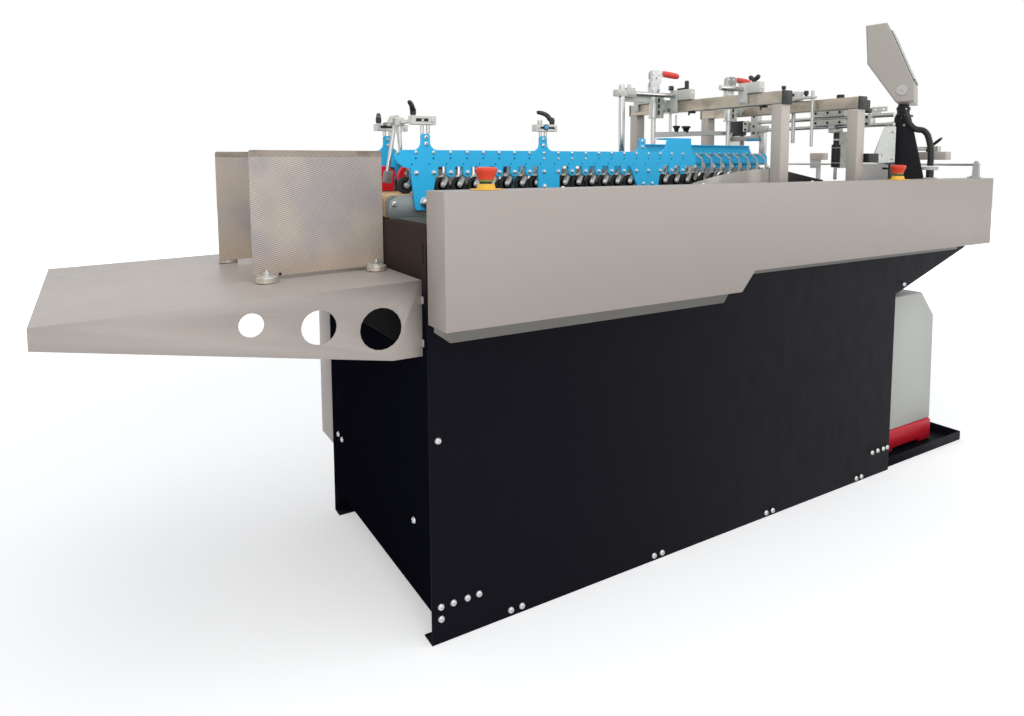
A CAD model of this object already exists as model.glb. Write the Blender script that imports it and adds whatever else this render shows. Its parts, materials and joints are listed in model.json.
import json
import math

import bmesh
import bpy
from bpy.props import FloatProperty, FloatVectorProperty, IntProperty, PointerProperty
import numpy as np
from mathutils import Matrix, Vector

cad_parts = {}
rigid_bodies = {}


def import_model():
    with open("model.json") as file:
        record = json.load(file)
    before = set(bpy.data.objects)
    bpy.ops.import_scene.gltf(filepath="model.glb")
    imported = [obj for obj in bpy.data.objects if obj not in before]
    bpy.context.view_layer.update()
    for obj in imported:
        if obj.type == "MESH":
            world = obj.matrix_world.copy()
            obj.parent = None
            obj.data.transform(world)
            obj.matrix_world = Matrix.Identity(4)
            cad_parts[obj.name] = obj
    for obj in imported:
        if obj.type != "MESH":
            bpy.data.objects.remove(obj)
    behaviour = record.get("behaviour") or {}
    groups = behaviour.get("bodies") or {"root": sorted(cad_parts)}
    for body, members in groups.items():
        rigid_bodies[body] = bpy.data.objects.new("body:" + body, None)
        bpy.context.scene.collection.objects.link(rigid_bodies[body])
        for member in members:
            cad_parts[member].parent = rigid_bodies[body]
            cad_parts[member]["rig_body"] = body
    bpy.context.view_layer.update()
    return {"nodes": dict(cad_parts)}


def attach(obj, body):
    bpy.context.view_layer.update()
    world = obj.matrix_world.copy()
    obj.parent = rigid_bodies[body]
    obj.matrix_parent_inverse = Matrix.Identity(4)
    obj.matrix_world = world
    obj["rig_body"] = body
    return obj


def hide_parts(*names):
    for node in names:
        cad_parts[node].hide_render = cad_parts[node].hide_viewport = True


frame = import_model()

bl_info = {"name": "Box folding and gluing machine",
    "version": (1, 0, 0), "blender": (4, 5, 0), "location": "View3D > Sidebar > Machine",
    "description": "Finishes and fine parts of a box folding and gluing machine", "category": "Object",}

NODES = frame["nodes"]

# Sizes below are metres in the machine frame: X = 0 at the infeed panel, Y = 0 at the operator's
# side panel and Z = 0 on the floor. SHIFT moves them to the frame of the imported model.
SHIFT = Vector((-0.6765, -0.3478, 0.0))
DECK_TOP = 0.82
NEAR_RAIL_Y = 0.221
FAR_RAIL_Y = 0.405
RAIL_THICK = 0.006
COVER_TOP = 0.9053
RAIL_TOP = 0.984
RAIL_RAISED = 1.01
NOTCH_TOP = 0.947
BOLT_HEIGHT = 0.934
LOBE = 0.0105
ROLLER_PITCH = 0.041
ROLLER_START = 0.0716
ROLLER_AHEAD = 0.0255
ROLLER_HEIGHT = 0.9062
NECKS = (0.0945, 0.398, 0.707)
FAR_NECK = 0.0756
NECK_TOP = 1.019

# Gap that keeps a foot or a plate just off the surface under it
CLEAR = 0.0003

# Camera: the photograph's width, focal length and level point in pixels, then place and angles
PHOTO_WIDTH = 1024.0
PHOTO_MIDDLE = (512.0, 358.0)
FOCAL_PIXELS = 719.0
LEVEL_POINT = (548.0, 227.0)
SENSOR_WIDTH = 36.0
CAMERA_PLACE = (-0.528907, -1.257113, 0.96)
CAMERA_HEADING = math.radians(32.5)
CAMERA_TILT = math.radians(5.25)

# Directions that a surface faces
UP = (0, 0, 1)
NEAR = (0, -1, 0)
FAR = (0, 1, 0)
BACK = (-1, 0, 0)

# Faces that meet at less than this angle are shaded as one
SHARP = math.radians(28)
TINT = {"size": 3, "min": 0.0, "max": 1.0, "subtype": "COLOR"}


def linked(name, data):
    """A new object in the scene."""
    made = bpy.data.objects.new(name, data)
    bpy.context.scene.collection.objects.link(made)
    return made


def evaluated(piece):
    """New mesh of an object with its modifiers."""
    bpy.context.view_layer.update()
    graph = bpy.context.evaluated_depsgraph_get()
    return bpy.data.meshes.new_from_object(piece.evaluated_get(graph), depsgraph=graph)


def colour(code):
    """Linear colour from six hexadecimal digits."""
    parts = [int(code[i:i + 2], 16) / 255.0 for i in (0, 2, 4)]
    return tuple(c / 12.92 if c <= 0.04045 else ((c + 0.055) / 1.055) ** 2.4 for c in parts)


# Shader arithmetic
class Value:
    """A shader socket in arithmetic: each operation adds a Math node to its finish."""

    def __init__(self, finish, socket):
        self.finish = finish
        self.socket = socket

    def maths(self, operation, first, second=0.0):
        return self.finish.node("ShaderNodeMath", {"operation": operation}, {0: first, 1: second})

    def __add__(self, other):
        return self.maths("ADD", self, other)

    def __sub__(self, other):
        return self.maths("SUBTRACT", self, other)

    def __rsub__(self, other):
        return self.maths("SUBTRACT", other, self)

    def __mul__(self, other):
        return self.maths("MULTIPLY", self, other)

    __radd__ = __add__
    __rmul__ = __mul__

    def ramp(self, low, high, start=0.0, end=1.0):
        """Smooth step from start to end while this value goes from low to high."""
        settings = {"interpolation_type": "SMOOTHSTEP"}
        return self.finish.node("ShaderNodeMapRange", settings, {0: self, 1: low, 2: high, 3: start, 4: end})

    def largest(self, other):
        return self.maths("MAXIMUM", self, other)

    def wave(self, length):
        """Sine of this value, repeating after a length."""
        return self.maths("SINE", self * (2.0 * math.pi / length))


class Finish:
    """One material: a Principled shader and the nodes that feed it."""

    def __init__(self, name, roughness, metallic=0.0, specular=0.5):
        self.material = bpy.data.materials.new(name)
        self.material.use_nodes = True
        self.tree = self.material.node_tree
        self.shader = self.tree.nodes["Principled BSDF"]
        self.shader.inputs["Roughness"].default_value = roughness
        self.shader.inputs["Metallic"].default_value = metallic
        self.shader.inputs["Coat Roughness"].default_value = 0.18
        self.shader.inputs["Specular IOR Level"].default_value = specular
        self.places = {}

    def node(self, kind, settings=None, feeds=None, output=0):
        """Any node: its settings come first, then a value or a link for each socket."""
        made = self.tree.nodes.new(kind)
        for name, setting in (settings or {}).items():
            setattr(made, name, setting)
        for name, feed in (feeds or {}).items():
            if isinstance(feed, Value):
                self.tree.links.new(feed.socket, made.inputs[name])
            else:
                made.inputs[name].default_value = feed
        return Value(self, made.outputs[output])

    def place(self, stretch=(1.0, 1.0, 1.0)):
        """Object coordinates in metres, stretched for a pattern."""
        if stretch not in self.places:
            spot = self.node("ShaderNodeTexCoord", output="Object")
            self.places[stretch] = self.node("ShaderNodeMapping", None, {"Vector": spot, "Scale": stretch})
        return self.places[stretch]

    def noise(self, scale, detail, stretch=(1.0, 1.0, 1.0)):
        feeds = {"Vector": self.place(stretch), "Scale": scale, "Detail": detail}
        return self.node("ShaderNodeTexNoise", None, feeds)

    def along(self, axis):
        """One object coordinate in metres: 0 for X, 1 for Y, 2 for Z."""
        return self.node("ShaderNodeSeparateXYZ", None, {0: self.place()}, output=axis)

    def blend(self, share, first, second):
        """Colour that goes from first to second."""
        settings = {"data_type": "RGBA", "blend_type": "MIX"}
        first, second = [c if isinstance(c, Value) else (*c, 1.0) for c in (first, second)]
        return self.node("ShaderNodeMix", settings, {0: share, 6: first, 7: second}, output=2)

    def shade(self, tint, strength):
        """Colour made lighter or darker by a factor near 1."""
        return self.node("ShaderNodeVectorMath", {"operation": "SCALE"}, {0: tint, "Scale": strength})

    def colour(self, tint):
        if isinstance(tint, Value):
            self.tree.links.new(tint.socket, self.shader.inputs["Base Color"])
        else:
            self.shader.inputs["Base Color"].default_value = (*tint, 1.0)

    def rough(self, value):
        self.tree.links.new(value.socket, self.shader.inputs["Roughness"])

    def bump(self, height, depth):
        bump = self.node("ShaderNodeBump", None, {"Height": height, "Distance": depth})
        self.tree.links.new(bump.socket, self.shader.inputs["Normal"])


def coated(name, tint, roughness=0.42, drift=0.05, grain=0.00006, grain_scale=900.0, speckle=0.04,
        **settings):
    """Powder coat or moulded plastic: fine grain, faint clouds, and a sheen that varies."""
    finish = Finish(name, roughness, **settings)
    cloud = finish.noise(3.0, 4.0)
    fine = finish.noise(grain_scale, 2.0)
    smear = finish.noise(26.0, 5.0, (1.0, 1.0, 0.45))
    finish.colour(finish.shade(tint, 1.0 + (cloud - 0.5) * drift * 2.0 + (fine - 0.5) * speckle * 2.0))
    finish.rough(roughness + (smear - 0.5) * 0.16)
    finish.bump(fine + cloud * 0.3, grain)
    return finish.material


def metal(name, tint, roughness=0.32, drift=0.12, stretch=(1.0, 1.0, 1.0), streaks=160.0, metallic=1.0,
        stain=None, stain_share=0.5):
    """Bare or plated metal: streaks in its working direction, clouds and faint stains."""
    finish = Finish(name, roughness, metallic)
    cloud = finish.noise(11.0, 5.0)
    streak = finish.noise(streaks, 3.0, stretch)
    fine = finish.noise(900.0, 2.0)
    strength = 1.0 + (cloud - 0.5) * drift * 2.0 + (streak - 0.5) * drift * 2.4
    tone = finish.shade(tint, strength)
    if stain:
        tone = finish.blend(finish.noise(17.0, 6.0).ramp(0.5, 0.68) * stain_share, tone, stain)
    finish.colour(tone)
    finish.rough(roughness + (cloud - 0.5) * 0.14 + (streak - 0.5) * 0.22)
    finish.bump(streak + fine * 0.3, 0.00003)
    return finish.material


# Solid bits
def block(x, y, z, bevel=0.0006, segments=2):
    """Box between two values on each axis, with rounded edges."""
    bit = bmesh.new()
    bmesh.ops.create_cube(bit, size=1.0)
    size = [b - a for a, b in (x, y, z)]
    middle = [(a + b) / 2 for a, b in (x, y, z)]
    bmesh.ops.scale(bit, vec=size, verts=bit.verts)
    bmesh.ops.translate(bit, vec=middle, verts=bit.verts)
    if bevel:
        bmesh.ops.bevel(bit, geom=bit.edges[:], offset=min(bevel, min(size) * 0.4), segments=segments,
            affect="EDGES", profile=0.5)
    return bit


def lathe(profile, origin, axis=UP, sides=24):
    """Turned solid from (radius, height) points, low to high, about an axis through origin."""
    bit = bmesh.new()
    turn = Vector(axis).to_track_quat("Z", "Y").to_matrix()
    origin = Vector(origin)
    rings = []
    for radius, height in profile:
        count = sides if radius > 1e-6 else 1
        ring = []
        for i in range(count):
            angle = 2 * math.pi * i / sides
            spot = Vector((radius * math.cos(angle), radius * math.sin(angle), height))
            ring.append(bit.verts.new(origin + turn @ spot))
        rings.append(ring)
    for low, high in zip(rings, rings[1:]):
        for i in range(sides):
            k = (i + 1) % sides
            corners = [low[i % len(low)], low[k % len(low)], high[k % len(high)], high[i % len(high)]]
            corners = list(dict.fromkeys(corners))
            if len(corners) > 2:
                bit.faces.new(corners)
    for ring, order in ((rings[0], -1), (rings[-1], 1)):
        if len(ring) > 2:
            bit.faces.new(ring[::order])
    return bit


def bar(start, end, radius, sides=20, rim=0.0005):
    """Round bar between two points, with a small chamfer at both ends."""
    start, end = Vector(start), Vector(end)
    length = (end - start).length
    rim = min(rim, radius * 0.4, length * 0.3)
    profile = [(radius - rim, 0.0), (radius, rim), (radius, length - rim), (radius - rim, length)]
    return lathe(profile, start, end - start, sides)


def hexagon(start, end, across):
    """Hexagon bar, such as a bolt head or a nut, across its flats."""
    return bar(start, end, across / math.sqrt(3), 6, 0.0004)


def slab(outline, facing, low, high, holes=(), bevel=0.0004, segments=1):
    """Flat outline made solid. facing Y reads points as (x, z), X as (y, z) and Z as (x, y)."""
    curve = bpy.data.curves.new("slab", "CURVE")
    curve.dimensions = "2D"
    curve.fill_mode = "BOTH"
    bevel = min(bevel, (high - low) * 0.3)
    curve.extrude = (high - low) / 2 - bevel
    curve.bevel_depth = bevel
    curve.bevel_resolution = segments - 1
    curve.offset = -bevel
    for loop in (outline, *holes):
        spline = curve.splines.new("POLY")
        spline.points.add(len(loop) - 1)
        for point, (a, b) in zip(spline.points, loop):
            point.co = (a, b, 0.0, 1.0)
        spline.use_cyclic_u = True
    middle = (low + high) / 2
    piece = linked("slab", curve)
    mesh = evaluated(piece)
    if facing == "Y":
        mesh.transform(Matrix.Translation((0, middle, 0)) @ Matrix.Rotation(math.pi / 2, 4, "X"))
    elif facing == "X":
        mesh.transform(Matrix(((0, 0, 1, middle), (1, 0, 0, 0), (0, 1, 0, 0), (0, 0, 0, 1))))
    else:
        mesh.transform(Matrix.Translation((0, 0, middle)))
    bit = bmesh.new()
    bit.from_mesh(mesh)
    bmesh.ops.remove_doubles(bit, verts=bit.verts, dist=0.000005)
    bmesh.ops.recalc_face_normals(bit, faces=bit.faces)
    bpy.data.objects.remove(piece, do_unlink=True)
    bpy.data.curves.remove(curve)
    bpy.data.meshes.remove(mesh)
    return bit


def circle(x, z, radius, sides=12):
    return [(x + radius * math.cos(2 * math.pi * i / sides), z + radius * math.sin(2 * math.pi * i / sides))
        for i in range(sides)]


def arc(x, z, radius, start, end, count):
    angles = [math.radians(start + (end - start) * i / count) for i in range(count + 1)]
    return [(x + radius * math.cos(angle), z + radius * math.sin(angle)) for angle in angles]


def smooth_line(points, steps):
    """Points along a Catmull-Rom curve through the given points."""
    points = [Vector(p) for p in points]
    points = [2 * points[0] - points[1]] + points + [2 * points[-1] - points[-2]]
    line = []
    for i in range(1, len(points) - 2):
        a, b, c, d = points[i - 1:i + 3]
        for k in range(steps):
            t = k / steps
            line.append(0.5 * (
                2 * b + (c - a) * t + (2 * a - 5 * b + 4 * c - d) * t * t + (3 * b - a - 3 * c + d) * t ** 3))
    line.append(points[-2])
    return line


def hose(points, radii, sides=12):
    """Round sweep along points; radii is one number or one for each point."""
    points = [Vector(p) for p in points]
    if isinstance(radii, (int, float)):
        radii = [radii] * len(points)
    bit = bmesh.new()
    rings = []
    along = (points[1] - points[0]).normalized()
    side = along.orthogonal().normalized()
    for i, (point, radius) in enumerate(zip(points, radii)):
        ahead = (points[min(i + 1, len(points) - 1)] - points[max(i - 1, 0)]).normalized()
        side = along.rotation_difference(ahead) @ side
        side = (side - ahead * side.dot(ahead)).normalized()
        along = ahead
        other = along.cross(side)
        ring = []
        for k in range(sides):
            angle = 2 * math.pi * k / sides
            ring.append(bit.verts.new(point + (side * math.cos(angle) + other * math.sin(angle)) * radius))
        rings.append(ring)
    for low, high in zip(rings, rings[1:]):
        for k in range(sides):
            j = (k + 1) % sides
            bit.faces.new((low[k], low[j], high[j], high[k]))
    bit.faces.new(rings[0][::-1])
    bit.faces.new(rings[-1])
    return bit


def turned_about(bit, point, axis, degrees):
    bmesh.ops.rotate(bit, cent=Vector(point), matrix=Matrix.Rotation(math.radians(degrees), 3, axis),
        verts=bit.verts)
    return bit


def moved(bit, step):
    bmesh.ops.translate(bit, vec=Vector(step), verts=bit.verts)
    return bit


class Form:
    """Collects the solid bits of one piece, each with its finish."""

    def __init__(self, name):
        self.name = name
        self.whole = bmesh.new()
        self.finishes = []

    def add(self, name, *bits):
        finish = FINISHES[name]
        if finish not in self.finishes:
            self.finishes.append(finish)
        index = self.finishes.index(finish)
        for bit in bits:
            bmesh.ops.recalc_face_normals(bit, faces=bit.faces)
            for face in bit.faces:
                face.material_index = index
            step = bpy.data.meshes.new("step")
            bit.to_mesh(step)
            bit.free()
            self.whole.from_mesh(step)
            bpy.data.meshes.remove(step)
        return self

    def mesh(self, shift=SHIFT):
        mesh = bpy.data.meshes.new(self.name)
        bmesh.ops.translate(self.whole, vec=shift, verts=self.whole.verts)
        self.whole.to_mesh(mesh)
        self.whole.free()
        for finish in self.finishes:
            mesh.materials.append(finish)
        mesh.shade_smooth()
        mesh.set_sharp_from_angle(angle=SHARP)
        return mesh

    def done(self, node=None, slot=None, body="frame"):
        """Puts the piece in the scene, where it stands for a CAD node."""
        return placed(self.name, self.mesh(), body, [node] if node else ())


def placed(name, mesh, body, replaces):
    """Object at the origin with its place in its mesh, riding on a body."""
    piece = linked(name, mesh)
    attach(piece, body)
    if replaces:
        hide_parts(*replaces)
    return piece


def softened(node, finish, width, segments):
    """Copy of a CAD node with rounded edges, which stands for it."""
    source = NODES[node]
    mesh = source.data.copy()
    mesh.name = node + "_sheet"
    whole = bmesh.new()
    whole.from_mesh(mesh)
    bmesh.ops.remove_doubles(whole, verts=whole.verts, dist=0.00001)
    bmesh.ops.dissolve_limit(whole, angle_limit=math.radians(0.6), verts=whole.verts, edges=whole.edges,
        delimit={"NORMAL"})
    whole.to_mesh(mesh)
    whole.free()
    mesh.materials.clear()
    mesh.materials.append(FINISHES[finish])
    piece = linked(mesh.name, mesh)
    change = piece.modifiers.new("round", "BEVEL")
    change.width = width
    change.segments = segments
    change.limit_method = "ANGLE"
    change.angle_limit = math.radians(32)
    change.harden_normals = True
    rounded = evaluated(piece)
    rounded.name = mesh.name
    bpy.data.objects.remove(piece, do_unlink=True)
    bpy.data.meshes.remove(mesh)
    rounded.shade_smooth()
    rounded.set_sharp_from_angle(angle=math.radians(45))
    return placed(rounded.name, rounded, source["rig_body"], [node])


# Repeats by Geometry Nodes
def repeated(name, parts, spots, loose=0.0, replaces=()):
    """Every part stands on every spot. parts are Forms modelled about the origin, with +Z out of the
    surface; spots are (point, facing) pairs; loose turns each one by up to that many radians."""
    tree = bpy.data.node_groups.new(name, "GeometryNodeTree")
    face = tree.interface
    inputs = {}
    for label, kind, value in (("Places", "NodeSocketGeometry", None), ("Size", "NodeSocketFloat", 1.0),
            ("Loose turn", "NodeSocketFloat", loose), ("Seed", "NodeSocketInt", 3)):
        inputs[label] = (face.new_socket(name=label, in_out="INPUT", socket_type=kind), value)
    sources = []
    for i, part in enumerate(parts):
        made = linked(f"{name}_part_{i}", part.mesh(Vector((0, 0, 0))))
        sources.append(made)
        inputs[f"Part {i}"] = (
            face.new_socket(name=f"Part {i}", in_out="INPUT", socket_type="NodeSocketObject"), made)
    face.new_socket(name="Result", in_out="OUTPUT", socket_type="NodeSocketGeometry")

    def node(kind, feeds=None, **settings):
        made = tree.nodes.new(kind)
        for key, setting in settings.items():
            setattr(made, key, setting)
        for key, feed in (feeds or {}).items():
            if isinstance(feed, bpy.types.NodeSocket):
                tree.links.new(feed, made.inputs[key])
            else:
                made.inputs[key].default_value = feed
        return made

    given = node("NodeGroupInput")
    facing = node("GeometryNodeInputNamedAttribute", {"Name": "facing"}, data_type="FLOAT_VECTOR")
    turn = node("FunctionNodeAlignRotationToVector", {"Vector": facing.outputs[0]}, axis="Z")
    chance = node("FunctionNodeRandomValue", {"Seed": given.outputs["Seed"]}, data_type="FLOAT")
    spin = node("ShaderNodeMath", {0: chance.outputs[1], 1: given.outputs["Loose turn"]},
        operation="MULTIPLY")
    about = node("FunctionNodeAxisAngleToRotation", {"Axis": (0.0, 0.0, 1.0), "Angle": spin.outputs[0]})
    both = node("FunctionNodeRotateRotation", {0: turn.outputs[0], 1: about.outputs[0]},
        rotation_space="LOCAL")
    join = node("GeometryNodeJoinGeometry")
    for i, source in enumerate(sources):
        shape = node("GeometryNodeObjectInfo", {"Object": given.outputs[f"Part {i}"]})
        stand = node("GeometryNodeInstanceOnPoints",
            {"Points": given.outputs["Places"], "Instance": shape.outputs["Geometry"],
            "Rotation": both.outputs[0], "Scale": given.outputs["Size"]})
        real = node("GeometryNodeRealizeInstances", {0: stand.outputs[0]})
        finish = node("GeometryNodeSetMaterial", {0: real.outputs[0]})
        finish.inputs["Material"].default_value = source.data.materials[0]
        tree.links.new(finish.outputs[0], join.inputs[0])
    result = node("NodeGroupOutput")
    tree.links.new(join.outputs[0], result.inputs[0])

    places = bpy.data.meshes.new(name + "_places")
    places.from_pydata([Vector(p) + SHIFT for p, _ in spots], [], [])
    attribute = places.attributes.new("facing", "FLOAT_VECTOR", "POINT")
    for item, (_, toward) in zip(attribute.data, spots):
        item.vector = toward
    holder = linked(name + "_places", places)
    change = holder.modifiers.new("repeat", "NODES")
    change.node_group = tree
    for label, (socket, value) in inputs.items():
        if value is not None:
            change[socket.identifier] = value
    mesh = evaluated(holder)
    mesh.name = name
    mesh.attributes.remove(mesh.attributes["facing"])
    holder.modifiers.remove(change)
    for used in (holder, *sources):
        bpy.data.objects.remove(used, do_unlink=True)
    bpy.data.node_groups.remove(tree)
    mesh.set_sharp_from_angle(angle=SHARP)
    return placed(name, mesh, "frame", replaces)


# Settings
class MachineSettings(bpy.types.PropertyGroup):
    cover_tint: FloatVectorProperty(name="Cover colour",
        description="Side covers, feed table and operator screen", default=colour("b1a79f"), **TINT)
    panel_tint: FloatVectorProperty(name="Panel colour", description="Cabinet panels, screen post and tray",
        default=colour("101018"), **TINT)
    rail_tint: FloatVectorProperty(name="Rail colour", description="Painted rails with the press rollers",
        default=colour("34c8ff"), **TINT)
    feed_tint: FloatVectorProperty(name="Feed gate colour", description="Moulded gates over the feed belts",
        default=colour("ec1f2c"), **TINT)
    belt_tint: FloatVectorProperty(name="Belt colour", description="Carrier belts and feed belt",
        default=colour("dcb88a"), **TINT)
    lamp_power: FloatProperty(name="Lamp power", description="Power of the large soft lamp over the machine",
        default=34.0, min=0.0, max=500.0, unit="POWER")
    emboss_length: FloatProperty(name="Emboss length",
        description="Distance between raised dashes along a stack guide", default=0.012, min=0.004, max=0.03,
        unit="LENGTH", subtype="DISTANCE")
    emboss_height: FloatProperty(name="Emboss height",
        description="Distance between rows of raised dashes on a stack guide", default=0.0039, min=0.002,
        max=0.01, unit="LENGTH", subtype="DISTANCE")
    tyre_radius: FloatProperty(name="Tyre radius", description="Radius of a press roller's rubber tyre",
        default=0.0178, min=0.012, max=0.018, unit="LENGTH", subtype="DISTANCE")
    conduit_ribs: IntProperty(name="Conduit ribs", description="Ribs along the operator screen's conduit",
        default=44, min=10, max=90)


def settings():
    return bpy.context.scene.folder_gluer


FINISHES = {}

# Name, colour, roughness and drift of a finish, then what else coated or metal takes
PAINTS = (
    ("deck_paint", "241e1c", 0.5, 0.12, {"specular": 0.25}),
    ("slit", "040405", 0.9, {"specular": 0.05}),
    ("beam_paint", "7d8583", 0.38, 0.08, {"metallic": 0.15}),
    ("carrier_paint", "d8d8cf", 0.4, 0.05),
    ("post_paint", "c9bfb5", 0.42, 0.05),
    ("black_plastic", "18191c", 0.42, 0.1, 0.00005, 1100.0),
    ("black_steel", "222226", 0.34, 0.15, {"metallic": 0.3}),
    ("handle_red", "f2544a", 0.4, 0.05, 0.00003, {"specular": 0.3}),
    ("stop_red", "ea4a2e", 0.36, 0.03, 0.00002, {"specular": 0.35}),
    ("stop_yellow", "f6c545", 0.4, 0.03),
    ("stop_green", "6f9a3c", 0.4, 0.03),
    ("white_sheet", "f3f0ec", 0.42, 0.02),
    ("bezel", "c6c8c1", 0.4, 0.02),
    ("cap_blue", "4fb3e0", 0.35, 0.02),
    ("pump_grey", "c4c5be", 0.44, 0.02),
    ("pump_red", "cc1c2c", 0.42, 0.04, {"specular": 0.3}),
    ("rubber", "1d1d1f", 0.66, 0.2, 0.0001, 500.0, 0.12),
    ("grey_rubber", "4b4c4c", 0.6, 0.15, 0.0001, 500.0, 0.1),
    ("screen_paint", "b3aca4", 0.44, 0.03),
    ("seam", "2a2826", 0.7, 0.05, {"specular": 0.1}),
    ("plug", "c3c3bf", 0.4, 0.03),
    ("post_black", "26242a", 0.46, 0.1, 0.00006, 700.0, {"specular": 0.3}),
    ("conduit_black", "1f1f22", 0.5, 0.12, 0.00004, 900.0),
    ("apron_paint", "d9d5cf", 0.4, 0.05),
)
METALS = (
    ("cast_grey", "8f9492", 0.46, 0.14, {"streaks": 300.0, "metallic": 0.55}),
    ("zinc", "c2c4c1", 0.34, 0.1, {"streaks": 90.0, "metallic": 0.85}),
    ("bolt_zinc", "d3d5d2", 0.3, 0.06, {"streaks": 120.0, "metallic": 0.75}),
    ("alloy", "cfcfc8", 0.42, 0.08, {"streaks": 240.0, "metallic": 0.6}),
    ("bright_steel", "bdbdba", 0.24, 0.1, (1.0, 0.12, 1.0), 220.0),
    ("rod_steel", "c4c4c2", 0.22, 0.08, (1.0, 1.0, 0.12), 260.0),
    ("tube_steel", "b9ae9f", 0.33, 0.14, (1.0, 0.16, 1.0), 190.0,
     {"metallic": 0.75, "stain": colour("8d8377"), "stain_share": 0.55}),
    ("guide_lip", "a2978b", 0.32, 0.16, (0.15, 1.0, 1.0), 90.0,
     {"metallic": 0.6, "stain": colour("6e6056"), "stain_share": 0.7}),
    ("magnet_brass", "d0c8bb", 0.34, 0.08, {"metallic": 0.5}),
    ("sheet_steel", "b9b2aa", 0.28, 0.1, (0.14, 1.0, 1.0), 180.0),
    ("backing_steel", "77746f", 0.42, 0.1, (0.2, 1.0, 1.0), 120.0, {"metallic": 0.6}),
)


def make_finishes():
    """Fills FINISHES: each one by its name, with the colours of the settings."""
    look = settings()
    made = FINISHES
    for maker, rows in ((coated, PAINTS), (metal, METALS)):
        for name, code, *more in rows:
            named = more.pop() if isinstance(more[-1], dict) else {}
            made[name.replace("_", " ")] = maker(name, colour(code), *more, **named)
    made["cover paint"] = coated("cover_paint", look.cover_tint, 0.46, 0.035)
    made["table paint"] = coated("table_paint", [c * 1.03 for c in look.cover_tint], 0.4, 0.05)
    made["panel paint"] = coated("panel_paint", look.panel_tint, 0.5, 0.1, 0.00009, 700.0, 0.1, specular=0.06)
    shade = Finish("infeed_paint", 0.66, specular=0.0)
    height = shade.along(2)
    grain = shade.noise(700.0, 2.0)
    base = shade.blend(height.ramp(0.66, 0.8), look.panel_tint, colour("40352f"))
    shade.colour(shade.shade(base, 1.0 + grain * 0.2))
    shade.bump(grain, 0.00008)
    made["infeed paint"] = shade.material
    made["rail paint"] = coated("rail_paint", look.rail_tint, 0.4, 0.04, specular=0.35)
    made["rail shade"] = coated("rail_shade", [c * 0.06 for c in look.rail_tint], 0.6, 0.04, specular=0.1)
    made["feed red"] = coated("feed_red", look.feed_tint, 0.36, 0.06, 0.00003, 400.0, specular=0.35)
    emboss = Finish("guide_steel", 0.4, 0.25)
    dash = emboss.along(0).wave(look.emboss_length) * emboss.along(2).wave(look.emboss_height)
    drift = emboss.noise(7.0, 4.0)
    tone = emboss.blend(drift.ramp(0.4, 0.6), colour("c0b4a8"), colour("aea6a4"))
    tone = emboss.blend(emboss.along(2).ramp(0.8, 0.74) * 0.5, tone, colour("c4ad94"))
    emboss.colour(emboss.shade(tone, 1.0 + dash * 0.42 + (emboss.noise(60.0, 3.0) - 0.5) * 0.1))
    emboss.rough(0.4 - dash * 0.04)
    emboss.bump(dash, 0.00006)
    made["guide steel"] = emboss.material

    belt = Finish("belt_fabric", 0.82)
    weave = belt.noise(1400.0, 2.0, (0.5, 1.0, 1.0))
    rub = belt.noise(14.0, 5.0, (0.25, 1.0, 1.0))
    grime = belt.noise(60.0, 4.0)
    tone = belt.shade(look.belt_tint, 1.0 + (weave - 0.5) * 0.22 + (rub - 0.5) * 0.1)
    belt.colour(belt.blend(grime.ramp(0.52, 0.75) * 0.25, tone, colour("a88a66")))
    belt.bump(weave, 0.00012)
    made["belt"] = belt.material

    glass = Finish("screen_glass", 0.08, specular=0.6)
    glass.shader.inputs["Coat Weight"].default_value = 0.4
    smear = glass.noise(30.0, 4.0)
    glass.colour(glass.shade(colour("11161b"), 0.9 + smear * 0.2))
    glass.rough(0.06 + smear.ramp(0.5, 0.8) * 0.14)
    made["screen glass"] = glass.material
    plough = Finish("plough_sheet_steel", 0.34)
    length = plough.along(0)
    grain = plough.noise(260.0, 3.0, (0.15, 1.0, 1.0))
    base = plough.blend(length.ramp(1.08 + SHIFT.x, 1.095 + SHIFT.x), colour("cdc7bd"), colour("1c1b1d"))
    sheen = length.wave(0.155).ramp(0.2, 1.0) * 0.3
    plough.colour(plough.shade(base, 0.84 + sheen + grain * 0.26))
    plough.rough(0.28 + grain * 0.14)
    made["plough"] = plough.material


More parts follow.
